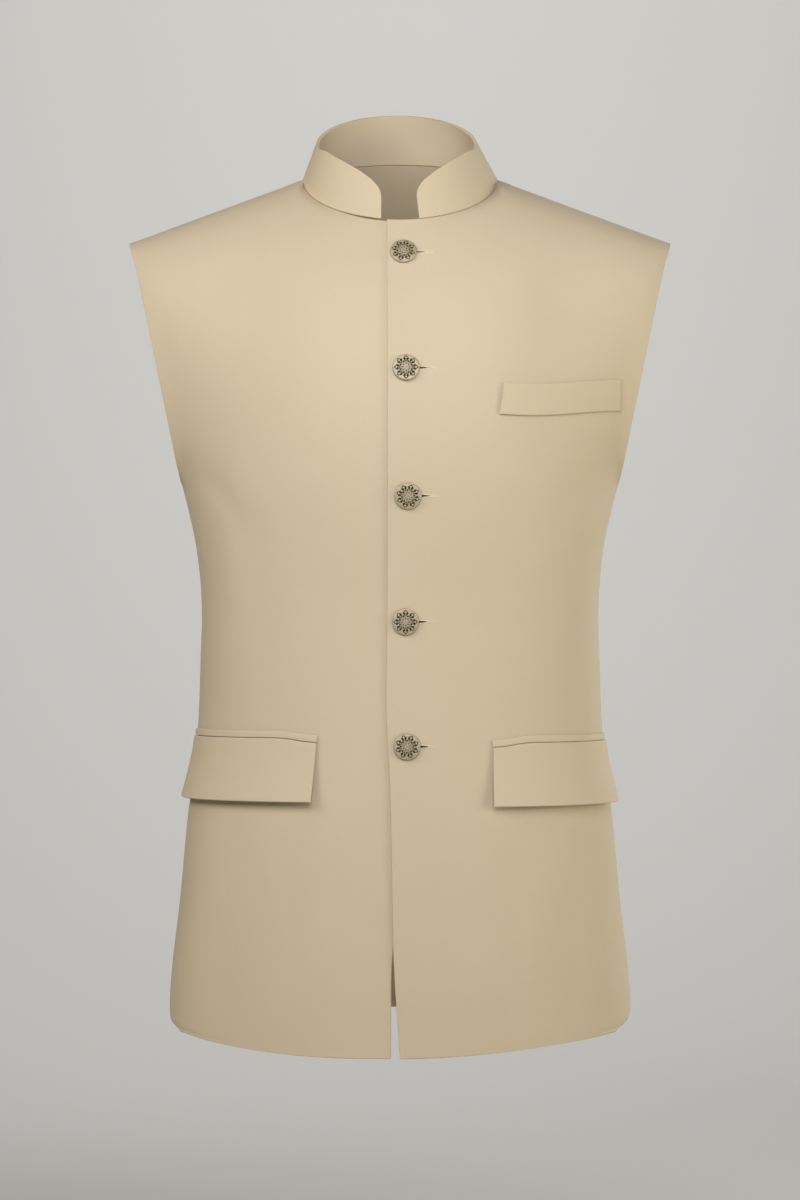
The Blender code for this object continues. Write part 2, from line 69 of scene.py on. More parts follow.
camera_data = bpy.data.cameras.new("camera")
camera_data.sensor_width = SENSOR
camera_data.lens = SENSOR * DISTANCE / PICTURE_TALL
camera = add_object("camera", camera_data)
camera.location = (0, -DISTANCE, EYE_HEIGHT)
camera.rotation_euler = (math.pi / 2, 0, 0)
bpy.context.scene.camera = camera
print("lens", round(camera_data.lens, 1), "mm")

# %% [markdown]
# ## The form of the body
# A jacket that is worn takes its shape from its cut and from what fills it. A short table of heights gives
# that shape: half the width at the side, and the depth of the front and the back. A smooth curve through
# the rows gives every height between, so a change to one row moves the whole cloth softly.

# %% Tables of the body and smooth steps
BODY_COLUMNS = ("height", "side", "front", "back")
BODY = (
    (-700, 183.5, 124.0, 116.0),
    (-640, 182.6, 123.0, 119.0),
    (-575, 175.5, 121.0, 118.0),
    (-510, 169.3, 119.0, 112.0),
    (-447, 161.8, 117.0, 104.0),
    (-383, 159.1, 117.0, 96.0),
    (-335, 158.2, 119.0, 95.0),
    (-287, 163.5, 124.0, 101.0),
    (-240, 174.5, 129.0, 110.0),
    (-193, 183.5, 129.5, 118.0),
    (-145, 193.2, 123.0, 121.0),
    (-98, 203.2, 107.0, 118.0),
    (-66, 210.8, 91.0, 109.0),
    (-51, 215.7, 83.0, 103.0),
    (-37, 219.0, 75.0, 97.0),
    (18, 230.0, 50.0, 68.0),
)


def cubic(values, slopes, k, t, gap=1.0):
    """Smooth step from value k to the next at the share t of the gap, with the slopes that both have."""
    rise = 3 * t**2 - 2 * t**3
    bend = (t**3 - 2 * t**2 + t) * slopes[k] + (t**3 - t**2) * slopes[k + 1]
    return values[k] * (1 - rise) + values[k + 1] * rise + gap * bend


def smooth_table(table, names, name, at):
    """One column of a table as a smooth curve over its first column, in cubic steps."""
    keys = np.array([row[0] for row in table], float)
    values = np.array([row[names.index(name)] for row in table], float)
    k = np.clip(np.searchsorted(keys, at) - 1, 0, len(keys) - 2)
    gap = keys[k + 1] - keys[k]
    return cubic(values, np.gradient(values, keys), k, np.clip((at - keys[k]) / gap, 0.0, 1.0), gap)


def ease(t):
    """0 to 1 with level ends: three t squared less two t cubed."""
    t = np.clip(t, 0.0, 1.0)
    return t * t * (3 - 2 * t)


print("waist half width", float(smooth_table(BODY, BODY_COLUMNS, "side", -335)), "mm")

# %% [markdown]
# ## Neckline and sections
# The neckline is a ring, lower in front than at the back. A section of the cloth runs from the middle to
# the side seam, or further up to the armhole, as a part of a squared ellipse: flat over the chest, then
# round at the side. A second table says how far round it goes and how square it is at each point of the
# armhole.

# %% Neckline and sections
NECK_HALF_WIDTH = 77.5
NECK_FRONT = 75.0
NECK_BACK = 68.0
NECK_DROP = 37.0
NECK_RISE = 18.0
HEM_FRONT = -690.0
HEM_BACK = -669.0
HEM_SIDE = -671.0
UNDERARM = -245.0
SHOULDER_TIP = -51.0
ARMHOLE_FRONT = 56.0
ARMHOLE_BACK = 64.0
ARMHOLE_POWER = 0.9
ROW_COLUMNS = ("armhole_angle", "turn", "square_front", "square_back", "sag")
ROWS = (
    (0, 90, 2.40, 2.70, 1.7),
    (30, 80, 2.40, 2.75, 1.6),
    (60, 73, 2.35, 2.80, 1.5),
    (90, 68, 2.30, 2.80, 1.4),
    (120, 60, 2.20, 2.70, 1.25),
    (150, 50, 2.10, 2.40, 1.1),
    (180, 38, 2.00, 2.00, 1.0),
)
PAST_MIDDLE = -0.2
SECTION_POINTS = 241


def neck_ring(angle):
    """Point on the neckline: 0 is the middle of the front, 90 the shoulder seam, 180 the back's middle."""
    a = np.radians(angle)
    cos = np.cos(a)
    front = cos > 0
    return np.stack([
        NECK_HALF_WIDTH * np.sin(a),
        -np.where(front, NECK_FRONT, NECK_BACK) * cos,
        -np.where(front, NECK_DROP, NECK_RISE) * cos,
    ], axis=-1)


def section(face, station, hem_inner, low):
    """One line of the front or back half: across is a power of the sine, depth a power of the cosine.

    Station 0 is the hem, 1 the underarm, 2 the line from the middle of the neckline to the shoulder tip.
    """
    front = face == "front"
    sign = -1.0 if front else 1.0
    neck = neck_ring(np.array(0.0 if front else 180.0))
    lower = min(station, 1.0)
    upper = max(station - 1.0, 0.0)
    arm = 180.0 * upper
    inner_z = hem_inner + (UNDERARM - hem_inner) * lower + (neck[2] - UNDERARM) * upper
    inner_y = sign * smooth_table(BODY, BODY_COLUMNS, face, inner_z)
    outer_z = HEM_SIDE + (UNDERARM - HEM_SIDE) * lower
    outer_z += (SHOULDER_TIP - UNDERARM) * (1 - math.cos(math.radians(arm))) / 2
    reach = ARMHOLE_FRONT if front else ARMHOLE_BACK
    outer_y = sign * reach * max(0.0, math.sin(math.radians(arm))) ** ARMHOLE_POWER
    outer_x = smooth_table(BODY, BODY_COLUMNS, "side", outer_z)
    turn = math.radians(smooth_table(ROWS, ROW_COLUMNS, "turn", arm))
    power = 2.0 / smooth_table(ROWS, ROW_COLUMNS, "square_" + face, arm)
    sag = smooth_table(ROWS, ROW_COLUMNS, "sag", arm) if upper > 0 else low
    share = np.linspace(PAST_MIDDLE, 1.0, SECTION_POINTS)
    size = np.abs(share)
    across = (np.sin(turn * size) / math.sin(turn)) ** power
    round_off = (1 - np.cos(turn * size) ** power) / (1 - max(math.cos(turn), 0.0) ** power)
    x = outer_x * across * np.sign(share)
    y = inner_y + (outer_y - inner_y) * round_off
    z = inner_z + (outer_z - inner_z) * across**sag
    return np.stack([x, y, z], axis=-1)


print("front edge at the underarm", section("front", 1.0, HEM_FRONT, 1.7)[40].round(1))

# %% [markdown]
# ## From sections to a panel
# Each panel is a grid of points: rows are sections from the hem up, and the last row follows the neckline
# and then the shoulder seam, where front and back are sewn together. Columns start at the front edge, whose
# place comes from its own table, because the left front laps over the right one. Near the hem the rows
# stop short of the side seam for the open vent and its rounded corner, which a third table gives.

# %% Front edges, rows and the ends of each row
SEAM = 0.3
VENT_TOP = -560.0
VENT_OPEN = 3.0
LAP_COLUMNS = ("height", "upper_edge", "under_edge")
LAP = (
    (-700, -0.6, -7.0),
    (-660, 2.2, -6.8),
    (-612, 5.0, -5.8),
    (-560, 6.2, 2.0),
    (-510, 7.0, 13.0),
    (-465, 8.5, 21.5),
    (-430, 10.4, 22.5),
    (-350, 10.0, 22.5),
    (-200, 9.7, 22.5),
    (-30, 10.2, 22.5),
)
# Each panel's edge, the power of its rows' sag at the hem, and the width and height of its hem corner.
HEMS = {
    "left": ("upper_edge", 1.7, 58.0, 34.0),
    "right": ("under_edge", 2.6, 50.0, 28.0),
    "back": (None, 1.7, 58.0, 34.0),
}
SKIRT_ROWS = 19
CHEST_ROWS = 14
CHEST_CLOSER = 1.3
CORNER_ANGLES = (0, 32, 60, 90)
FRONT_COLUMNS = ((0.0, 7.0, 16.0, 28.0), 8, 8)
BACK_COLUMNS = ((0.0,), 10, 8)


def lengths(line):
    """Distance along a line of points."""
    return np.concatenate([[0.0], np.cumsum(np.linalg.norm(np.diff(line, axis=0), axis=1))])


def along(line, run, at):
    """Points at the given distances along a line."""
    return np.stack([np.interp(at, run, column) for column in line.T], axis=-1)


def pick(line, start_x, pull, columns):
    """Points along a section: fixed steps from its start, then even ones up to its end less the pull."""
    edge, neck_count, shoulder_count = columns
    run = lengths(line)
    fixed = np.interp(start_x, line[:, 0], run) + np.array(edge)
    rest = np.linspace(fixed[-1], run[-1] - pull, neck_count + shoulder_count + 1)[1:]
    return along(line, run, np.concatenate([fixed, rest]))


def top_edge(face, start_x, columns):
    """The upper end of a panel: along the neckline to the shoulder seam, then along that to the tip."""
    edge, neck_count, shoulder_count = columns
    begin = math.degrees(math.asin(start_x / NECK_HALF_WIDTH))
    angle = np.linspace(begin, 90, 181)
    line = neck_ring(angle if face == "front" else 180 - angle)
    run = lengths(line)
    fixed = np.array(edge)
    neck = along(line, run, np.concatenate([fixed, np.linspace(fixed[-1], run[-1], neck_count + 1)[1:]]))
    tip = np.array([float(smooth_table(BODY, BODY_COLUMNS, "side", SHOULDER_TIP)), 0.0, SHOULDER_TIP])
    share = np.linspace(0, 1, shoulder_count + 1)[1:, None]
    return np.concatenate([neck, neck[-1] + (tip - neck[-1]) * share])


def stations(corner_tall):
    """Stations of the panel rows, closer at the rounded hem corner and over the shoulder."""
    tall = UNDERARM - HEM_SIDE
    corner = [corner_tall * (1 - math.cos(math.radians(a))) / tall for a in CORNER_ANGLES]
    skirt = np.linspace(corner[-1], 1.0, SKIRT_ROWS + 1)[1:]
    chest = 2.0 - np.linspace(1.0, 0.0, CHEST_ROWS + 1)[1:] ** CHEST_CLOSER
    return np.concatenate([corner, skirt, chest])


def side_pull(station, corner_wide, corner_tall):
    """How far a row stops short of the side seam: half the seam gap, the vent and the rounded corner."""
    if station > 1:
        return 0.0
    height = HEM_SIDE + (UNDERARM - HEM_SIDE) * station
    vent = VENT_OPEN * float(ease((VENT_TOP - height) / (VENT_TOP - HEM_SIDE)))
    rise = (height - HEM_SIDE) / corner_tall
    corner = corner_wide * (1 - math.sqrt(1 - (1 - rise) ** 2)) if rise < 1 else 0.0
    return SEAM / 2 + vent + corner


print("rows in a panel:", len(stations(21.0)))

# %% [markdown]
# ## Over the shoulder
# From the underarm up, the sections have to come to the collar and the shoulder seam, where the cloth
# turns over the shoulder. They rise more and more towards that edge, first in height and last in depth,
# which rounds the cloth. The points beside the underarm are then evened out, as a presser would shrink
# away the fullness there with steam.

# %% Panel grids
SHOULDER_HEIGHT = 1.8
SHOULDER_DEPTH = 3.0
SHOULDER_SHARP = 6.0
RELAX_PASSES = 14
RELAX_STRENGTH = 0.7
# Where the evening out begins or ends, and over how much it fades: in stations, then as a share of the row.
RELAX_FROM, RELAX_TO, RELAX_ASIDE = (0.74, 0.22), (1.75, 0.5), (0.35, 0.4)


def soften(rise, run):
    """The rise as a smooth swell, nothing at both ends, fitted with three low powers of the distance."""
    u = run / run[-1]
    swells = np.stack([u**2 * (1 - u) * u**k for k in range(3)], axis=-1)
    return swells @ np.linalg.lstsq(swells, rise, rcond=None)[0]


def relax(grid, rows):
    """Even out the points beside the underarm: each moves towards the middle of its four neighbours."""
    rows = rows[:, None]
    share = np.linspace(0, 1, grid.shape[1])[None, :]
    weight = ease((rows - RELAX_FROM[0]) / RELAX_FROM[1]) * ease((RELAX_TO[0] - rows) / RELAX_TO[1])
    weight = weight * ease((share - RELAX_ASIDE[0]) / RELAX_ASIDE[1])
    weight = RELAX_STRENGTH * weight[1:-1, 1:-1, None]
    for _pass in range(RELAX_PASSES):
        around = (grid[:-2, 1:-1] + grid[2:, 1:-1] + grid[1:-1, :-2] + grid[1:-1, 2:]) / 4
        grid[1:-1, 1:-1] += weight * (around - grid[1:-1, 1:-1])
    return grid


def panel_grid(name, columns):
    """Rows of points of half a front or back on the wearer's left: a section plus its share of the rise."""
    edge_name, sag, corner_wide, corner_tall = HEMS[name]
    face = "back" if name == "back" else "front"
    hem = HEM_FRONT if face == "front" else HEM_BACK

    def start(line):
        if edge_name is None:
            return 0.0
        return -float(smooth_table(LAP, LAP_COLUMNS, edge_name, np.interp(0.0, line[:, 0], line[:, 2])))

    last = section(face, 2.0, hem, sag)
    upper_end = top_edge(face, start(last), columns)
    rise = upper_end - pick(last, start(last), 0.0, columns)
    soft = soften(rise, lengths(upper_end))
    rows = stations(corner_tall)
    grid = []
    for station in rows:
        line = section(face, station, hem, sag)
        points = pick(line, start(line), side_pull(station, corner_wide, corner_tall), columns)
        if station > 1:
            high = station - 1
            depth = 1 - math.sqrt(1 - high**SHOULDER_DEPTH)
            sharp = high**SHOULDER_SHARP
            lift = rise * sharp + soft * (1 - sharp)
            points = points + lift * np.array([high**2, depth, high**SHOULDER_HEIGHT])
        grid.append(points)
    grid = relax(np.array(grid), rows)
    grid[-1, -columns[2] - 1:, 1] = -SEAM / 2 if face == "front" else SEAM / 2
    return grid


LEFT_FRONT = panel_grid("left", FRONT_COLUMNS)
RIGHT_FRONT = panel_grid("right", FRONT_COLUMNS)
HALF_BACK = panel_grid("back", BACK_COLUMNS)
print("front", LEFT_FRONT.shape, "back", HALF_BACK.shape)

# %% [markdown]
# ## More points where they are needed
# A coarse grid carries the shape, and smooth curves through it give a fine one. The cloth's edges need a
# few more lines, tenths of a millimetre apart, so that they can roll over as a turned and pressed edge
# does. The distance of each point from the four edges is kept, for the rolls, the creases and the sewing.

# %% Fine grids and their edges
ROLL_STEPS = (0.12, 0.3, 0.6, 1.0)
FINER = (4, 5)
NORMAL_PASSES = 3


def spline(values, at):
    """A smooth curve through the first axis of an array, read at fractional positions."""
    slopes = np.gradient(values, axis=0)
    k = np.clip(at.astype(int), 0, len(values) - 2)
    return cubic(values, slopes, k, (at - k).reshape(-1, *[1] * (values.ndim - 1)))


def refine(grid, tall_times, wide_times):
    """A grid with more points on the same smooth surface."""
    rows, columns = grid.shape[:2]
    tall = spline(grid, np.linspace(0, rows - 1, (rows - 1) * tall_times + 1))
    wide = spline(tall.swapaxes(0, 1), np.linspace(0, columns - 1, (columns - 1) * wide_times + 1))
    return wide.swapaxes(0, 1)


def near_edges(grid):
    """The grid with extra rows at both ends: the end row moved a little way towards its neighbour."""
    ends = []
    for end, beside in ((grid[0], grid[1]), (grid[-1], grid[-2])):
        far = np.linalg.norm(beside - end, axis=-1, keepdims=True)
        ends.append([end + (beside - end) * np.minimum(step / far, 0.2 * k)
                     for k, step in enumerate(ROLL_STEPS, 1)])
    return np.concatenate([grid[:1], ends[0], grid[1:-1], ends[1][::-1], grid[-1:]])


def fine(grid, tall_times, wide_times):
    """Refined grid with lines close to all four edges."""
    grid = near_edges(refine(grid, tall_times, wide_times))
    return near_edges(grid.swapaxes(0, 1)).swapaxes(0, 1)


def distances(grid):
    """Distance of each point from the first and last column and the first and last row, along the cloth."""
    across = np.linalg.norm(np.diff(grid, axis=1), axis=-1)
    across = np.pad(np.cumsum(across, axis=1), ((0, 0), (1, 0)))
    upward = np.linalg.norm(np.diff(grid, axis=0), axis=-1)
    upward = np.pad(np.cumsum(upward, axis=0), ((1, 0), (0, 0)))
    return across, across[:, -1:] - across, upward, upward[-1:] - upward


def unit(vectors):
    """The same directions with a length of one."""
    return vectors / np.maximum(np.linalg.norm(vectors, axis=-1, keepdims=True), 1e-12)


def outward(grid):
    """Unit normals of a grid: the cross product of its two ways, evened out over the neighbours."""
    normal = unit(np.cross(np.gradient(grid, axis=1), np.gradient(grid, axis=0)))
    for _pass in range(NORMAL_PASSES):
        wide = np.pad(normal, ((1, 1), (1, 1), (0, 0)), mode="edge")
        normal = (2 * normal + wide[:-2, 1:-1] + wide[2:, 1:-1] + wide[1:-1, :-2] + wide[1:-1, 2:]) / 6
    return unit(normal)


print("fine front", fine(LEFT_FRONT, *FINER).shape)

# %% [markdown]
# ## Creases
# The jacket is pressed and filled out, so its cloth shows only soft long troughs and swells: down the
# sides, from the underarm towards the chest, and in the skirt below the pockets. Each is one row of a
# table: its two ends as seen from the front or back, how far it bows, its width and its depth, negative
# for a trough. The back has its own, across the waist and under the shoulder blades. They fade out at the
# seams, where the stitching holds the cloth, and near the overlap, which is stiffened.

# %% Crease tables and how they move the cloth
# Across and height of the start, the same of the end, bow, width and depth.
CREASES = {
    "left_front": (
        (168, -225, 118, -292, 6, 11, -0.9),
        (158, -262, 104, -318, 5, 13, 0.7),
        (150, -350, 146, -428, -4, 17, -1.1),
        (66, -505, 78, -690, 3, 19, 0.9),
        (128, -520, 141, -676, -4, 16, -1.4),
        (104, -560, 112, -690, 2, 14, 0.9),
        (150, -70, 112, -118, 5, 20, -0.8),
        (40, -348, 76, -357, 2, 7, -0.35),
        (42, -446, 70, -462, 2, 7, -0.4),
    ),
    "right_front": (
        (166, -230, 112, -300, 7, 12, -1.1),
        (152, -158, 150, -300, 5, 18, -1.2),
        (156, -300, 149, -432, -5, 18, -1.5),
        (136, -270, 128, -420, 4, 16, 1.0),
        (60, -500, 70, -690, -3, 20, 1.1),
        (132, -515, 148, -674, 4, 15, -1.5),
        (98, -548, 108, -690, 3, 15, 0.8),
        (146, -72, 104, -112, 5, 20, -0.9),
    ),
    "back": (
        (-84, -322, 92, -336, 9, 11, -2.4),
        (-62, -349, 58, -352, -5, 9, 1.3),
        (-92, -376, 70, -368, 7, 12, -1.8),
        (160, -232, 96, -300, 8, 12, -1.6),
        (-158, -228, -100, -290, -7, 13, -1.8),
        (146, -150, 130, -244, 7, 15, -1.3),
        (-148, -146, -128, -250, -8, 14, -1.5),
        (70, -470, 88, -668, 4, 20, 1.7),
        (24, -440, 20, -668, -4, 22, -1.2),
        (-38, -455, -52, -668, 5, 21, 1.5),
        (-96, -480, -110, -668, -4, 17, -1.6),
        (128, -500, 138, -664, 3, 15, -1.3),
        (-62, -34, 58, -30, -8, 14, -1.0),
    ),
}
SEAM_HOLDS = 24.0
LAP_HOLDS = 28.0


def crease_depth(points, table):
    """Sum over the table: depth times a bell across the crease, times a fade at both its ends.

    The bell widens and narrows a little along the crease, and the crease's own line bows.
    """
    x, z = points[..., 0], points[..., 2]
    total = np.zeros(x.shape)
    for x_from, z_from, x_to, z_to, bow, width, depth in table:
        along_x, along_z = x_to - x_from, z_to - z_from
        size = math.hypot(along_x, along_z)
        t = ((x - x_from) * along_x + (z - z_from) * along_z) / size**2
        aside = ((x - x_from) * along_z - (z - z_from) * along_x) / size - bow * 4 * t * (1 - t)
        wide = width * (1 + 0.3 * np.sin(5 * t + x_from))
        fade = ease((t + 0.2) / 0.5) * ease((1.2 - t) / 0.5)
        total += depth * np.exp(-(aside / wide) ** 2) * fade
    return total


def unevenness(points):
    """A few slow waves of a quarter millimetre, as cloth that has been worn once never lies quite true."""
    x, z = points[..., 0], points[..., 2]
    waves = np.sin(x / 23 + 0.6 * np.sin(z / 61)) * np.sin(z / 37 + 1.3)
    return 0.16 * waves + 0.12 * np.sin(x / 11 - z / 53) * np.sin(z / 71)


def creased(name, grid, held_from=0.0):
    """The grid moved along its normals by its creases, held still at its seams and beside a lap."""
    first, last, low, high = distances(grid)
    hold = ease(last / SEAM_HOLDS) * ease(high / SEAM_HOLDS) * ease((first - held_from) / SEAM_HOLDS)
    move = (crease_depth(grid, CREASES[name]) + unevenness(grid)) * hold
    return grid + outward(grid) * move[..., None]


def mirrored(grid):
    """The same grid for the other side of the body."""
    return grid * np.array([-1.0, 1.0, 1.0])


left_cloth = creased("left_front", fine(LEFT_FRONT, *FINER), LAP_HOLDS)
right_cloth = creased("right_front", fine(RIGHT_FRONT, *FINER), LAP_HOLDS)
print("creases:", sum(len(rows) for rows in CREASES.values()))

# %% [markdown]
# ## Materials as arithmetic
# A finish is easiest to read when it is written as sums and products. One small class holds a socket of a
# material and turns plus, minus and times into Math nodes, both ways round, so that `1 - mask` works. Any
# other node comes from one method that takes its type, its settings and its sockets.

# %% A socket that can be calculated with
class Wire:
    """One socket of a material. Arithmetic on it adds Math nodes and gives a new Wire."""

    def __init__(self, finish, socket):
        self.finish, self.socket = finish, socket

    def math(self, operation, *values):
        return self.finish.node("ShaderNodeMath", {"operation": operation}, dict(enumerate(values)))

    def __add__(self, other): return self.math("ADD", self, other)
    def __radd__(self, other): return self.math("ADD", other, self)
    def __sub__(self, other): return self.math("SUBTRACT", self, other)
    def __rsub__(self, other): return self.math("SUBTRACT", other, self)
    def __mul__(self, other): return self.math("MULTIPLY", self, other)
    def __rmul__(self, other): return self.math("MULTIPLY", other, self)


class Finish:
    """A node material: node() adds any node, colour() blends two colours, surface() sets the shader."""

    def __init__(self, name):
        self.material = bpy.data.materials.new(name)
        self.material.use_nodes = True
        self.tree = self.material.node_tree
        self.shader = self.tree.nodes["Principled BSDF"]

    def join(self, socket, value):
        if isinstance(value, Wire):
            self.tree.links.new(value.socket, socket)
        else:
            socket.default_value = value

    def node(self, kind, settings=None, sockets=None, output=0):
        node = self.tree.nodes.new(kind)
        for key, value in (settings or {}).items():
            setattr(node, key, value)
        for key, value in (sockets or {}).items():
            self.join(node.inputs[key], value)
        return Wire(self, node.outputs[output])

    def colour(self, share, first, second):
        """First colour at 0, second at 1: a Mix node's colours are sockets 6 and 7, its result output 2."""
        values = {0: share, 6: first, 7: second}
        return self.node("ShaderNodeMix", {"data_type": "RGBA"}, values, output=2)

    def noise(self, where, stretch, detail=2.0):
        """Noise at the place times the stretch: the larger a number, the finer it is that way."""
        place = self.node("ShaderNodeVectorMath", {"operation": "MULTIPLY"}, {0: where, 1: stretch})
        return self.node("ShaderNodeTexNoise", None, {"Vector": place, "Scale": 1.0, "Detail": detail})

    def place(self):
        """Where a point is on its object: output 3 of the Texture Coordinate node."""
        return self.node("ShaderNodeTexCoord", output=3)

    def surface(self, **values):
        for name, value in values.items():
            self.join(self.shader.inputs[name.replace("_", " ")], value)
        return self.material


print("shader inputs:", len(Finish("trial").shader.inputs))
bpy.data.materials.remove(bpy.data.materials["trial"])

# %% [markdown]
# ## Beige suiting
# The cloth is a smooth matt suiting in warm beige. Its warp and weft show only from close by, as fine
# threads of uneven thickness, so each is a noise that is stretched along its threads. Slow noise shifts
# the tone a little over the panel, as in any dyed piece. A little sheen lifts the edges that turn away.
# The pattern is laid out on the flat cut piece, in metres, through the piece's own UV map.

# %% Cloth finish
CLOTH_LIGHT = (0.665, 0.545, 0.385)
CLOTH_DARK = (0.545, 0.435, 0.290)
THREAD_FINE = 1900.0
THREAD_LONG = 130.0
THREAD_DEPTH = 0.00009


def suiting(name, light=1.0):
    """Warp and weft threads of about half a millimetre, and a slow change of tone over a hand's breadth."""
    finish = Finish(name)
    flat = finish.node("ShaderNodeUVMap", {"uv_map": "cut"})
    warp = finish.noise(flat, (THREAD_FINE, THREAD_LONG, 1.0))
    weft = finish.noise(flat, (THREAD_LONG, THREAD_FINE, 1.0))
    slow = finish.noise(flat, (7.0, 5.0, 1.0), detail=3.0)
    threads = (warp + weft) * 0.5
    tone = 0.5 + (threads - 0.5) * 0.55 + (slow - 0.5) * 0.5
    dark, pale = ((*(light * c for c in colour), 1.0) for colour in (CLOTH_DARK, CLOTH_LIGHT))
    bump = finish.node("ShaderNodeBump", None,
                       {"Strength": 0.45, "Distance": THREAD_DEPTH, "Height": threads})
    return finish.surface(
        Base_Color=finish.colour(tone, dark, pale), Roughness=0.60 + threads * 0.2, Normal=bump,
        Specular_IOR_Level=0.35, Sheen_Weight=0.12, Sheen_Roughness=0.45,
    )


body_finish = suiting("beige_suiting")
trim_finish = suiting("beige_suiting_pockets", light=1.02)
collar_finish = suiting("beige_suiting_collar", light=1.02)
print("cloth finishes:", [finish.name for finish in (body_finish, trim_finish, collar_finish)])

# %% [markdown]
# ## A thin shell from a grid
# A pressed edge is not cut square: the cloth turns over. Near an edge the outer face drops along a quarter
# circle, and the inner face rises to meet it. The shell keeps a UV map with the distances along the cloth,
# which is as good as the flat pattern piece.

# %% Shells
CLOTH = 1.6
SEAM_FADE = 8.0


def roll(away, radius):
    """Drop of a rounded edge: radius less the height of a quarter circle at that distance from the edge."""
    near = np.clip(1 - away / radius, 0.0, 1.0)
    return radius * (1 - np.sqrt(1 - near**2))


def add_mesh(name, points, faces, finish, cut=None, caps=(), sharp=42):
    """A smooth mesh object from points in millimetres, with its flat layout as a UV map.

    Caps are faces with more corners. Edges that turn by more than the sharp angle stay sharp.
    """
    mesh = bpy.data.meshes.new(name)
    mesh.from_pydata((points * MM).tolist(), [], [*faces.tolist(), *caps])
    mesh.polygons.foreach_set("use_smooth", np.ones(len(mesh.polygons), bool))
    if cut is not None:
        corner = np.empty(len(mesh.loops), np.int32)
        mesh.loops.foreach_get("vertex_index", corner)
        layer = mesh.uv_layers.new(name="cut")
        layer.data.foreach_set("uv", (cut[corner] * MM).astype(np.float32).ravel())
    mesh.set_sharp_from_angle(angle=math.radians(sharp))
    mesh.materials.append(finish)
    return add_object(name, mesh)


def corners(grid):
    """The four corners of every cell of a grid, in turn."""
    return grid[:-1, :-1], grid[:-1, 1:], grid[1:, 1:], grid[1:, :-1]


def shell(name, grid, ply, finish, drop=0.0, rolls=0.75, normal=None, mirror=False):
    """Closed wall: outer face on the grid less the drop, inner face one ply further in, rolled edges.

    A piece for the wearer's right side is worked out on the left one and then mirrored.
    """
    first, last, low, high = distances(grid)
    normal = outward(grid) if normal is None else normal
    turn = roll(np.minimum(np.minimum(first, last), np.minimum(low, high)), min(rolls, ply * 0.48))
    points = np.concatenate([(grid - normal * inward[..., None]).reshape(-1, 3)
                             for inward in (drop + turn, drop + ply - turn)])
    size = first.size
    index = np.arange(size).reshape(first.shape)
    outer = np.stack(corners(index), -1).reshape(-1, 4)
    faces = [outer, outer[:, ::-1] + size]
    for p, q in ((index[0, :-1], index[0, 1:]), (index[:-1, -1], index[1:, -1]),
                 (index[-1, 1:], index[-1, :-1]), (index[1:, 0], index[:-1, 0])):
        faces.append(np.stack([q, p, p + size, q + size], 1))
    faces = np.concatenate(faces)
    if mirror:
        points, faces = mirrored(points), faces[:, ::-1]
    cut = np.stack([first, low], -1).reshape(-1, 2)
    return add_mesh(name, points, faces, finish, np.concatenate([cut, cut]))


def seam_normals(grid, side):
    """Normals whose y fades to nothing at the shoulder and side seams, where two panels meet."""
    _first, _last, _low, high = distances(grid)
    shoulder = (1 - ease(high / SEAM_FADE)) * (np.abs(grid[..., 0]) > NECK_HALF_WIDTH)
    below = (1 - ease(side / SEAM_FADE)) * (grid[..., 2] < UNDERARM)
    normal = outward(grid)
    normal[..., 1] *= 1 - np.maximum(shoulder, below)
    return unit(normal)


def cloth_area(grid):
    """Area of a grid in square metres, as the sum of its cells' two triangles."""
    a, b, c, d = corners(grid)
    first = np.linalg.norm(np.cross(b - a, c - a), axis=-1)
    second = np.linalg.norm(np.cross(c - a, d - a), axis=-1)
    return float((first + second).sum()) / 2 * MM**2


def stand_for(piece, node):
    """The piece moves with the jacket and is shown in place of its solid, if any."""
    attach(piece, "root")
    if node:
        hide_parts(node)


def declare(piece, grid, held="stretched", rests_on=(), with_pieces=(), upright=slice(None)):
    """Measures the grid along its own lines and works out its area, the size of the flat piece it is cut
    from; nothing uses them.

    Upright, the line that would give the height, is not used.
    """
    _first, last, low, high = distances(grid)
    area = cloth_area(grid)


print("a rolled edge drops", round(float(roll(0.3, 0.75)), 2), "mm, 0.3 mm in from the edge")

# %% [markdown]
# ## Fronts
# The left front lies on top and carries the buttonholes. The right front lies just inside it near the
# middle, where the buttons are sewn on, and comes out level with it a little further round. Its drop is a
# smooth step with the distance from the middle. Below each buttonhole it hollows a little, because the
# shank pulls the two layers together only beside it, and that is why an open buttonhole looks dark.

# %% Left and right front
LAP_DROP = CLOTH + 0.5
LAP_FLAT = 13.0
LAP_BLEND = 40.0
# Across, height and turn in degrees.
BUTTONS = (
    (2.7, -63.5, 29),
    (4.7, -155.5, 0),
    (6.2, -254.7, 28),
    (4.3, -352.0, 0),
    (5.4, -448.7, 20),
)
HOLLOW_DEEP = 4.0
HOLLOW_ASIDE = 13.0
HOLLOW_WIDE = 6.0
HOLLOW_TALL = 7.0


def lap_drop(x):
    """How far the under front lies inside the upper one, by distance from the middle on its own side."""
    return LAP_DROP * (1 - ease((x - LAP_FLAT) / LAP_BLEND))


def hollows(x, z):
    """Sum of a bell below each buttonhole, by world x and height."""
    total = 0.0
    for across, height, _turn in BUTTONS:
        aside, above = (x - across - HOLLOW_ASIDE) / HOLLOW_WIDE, (z - height) / HOLLOW_TALL
        total = total + HOLLOW_DEEP * np.exp(-aside**2 - above**2)
    return total


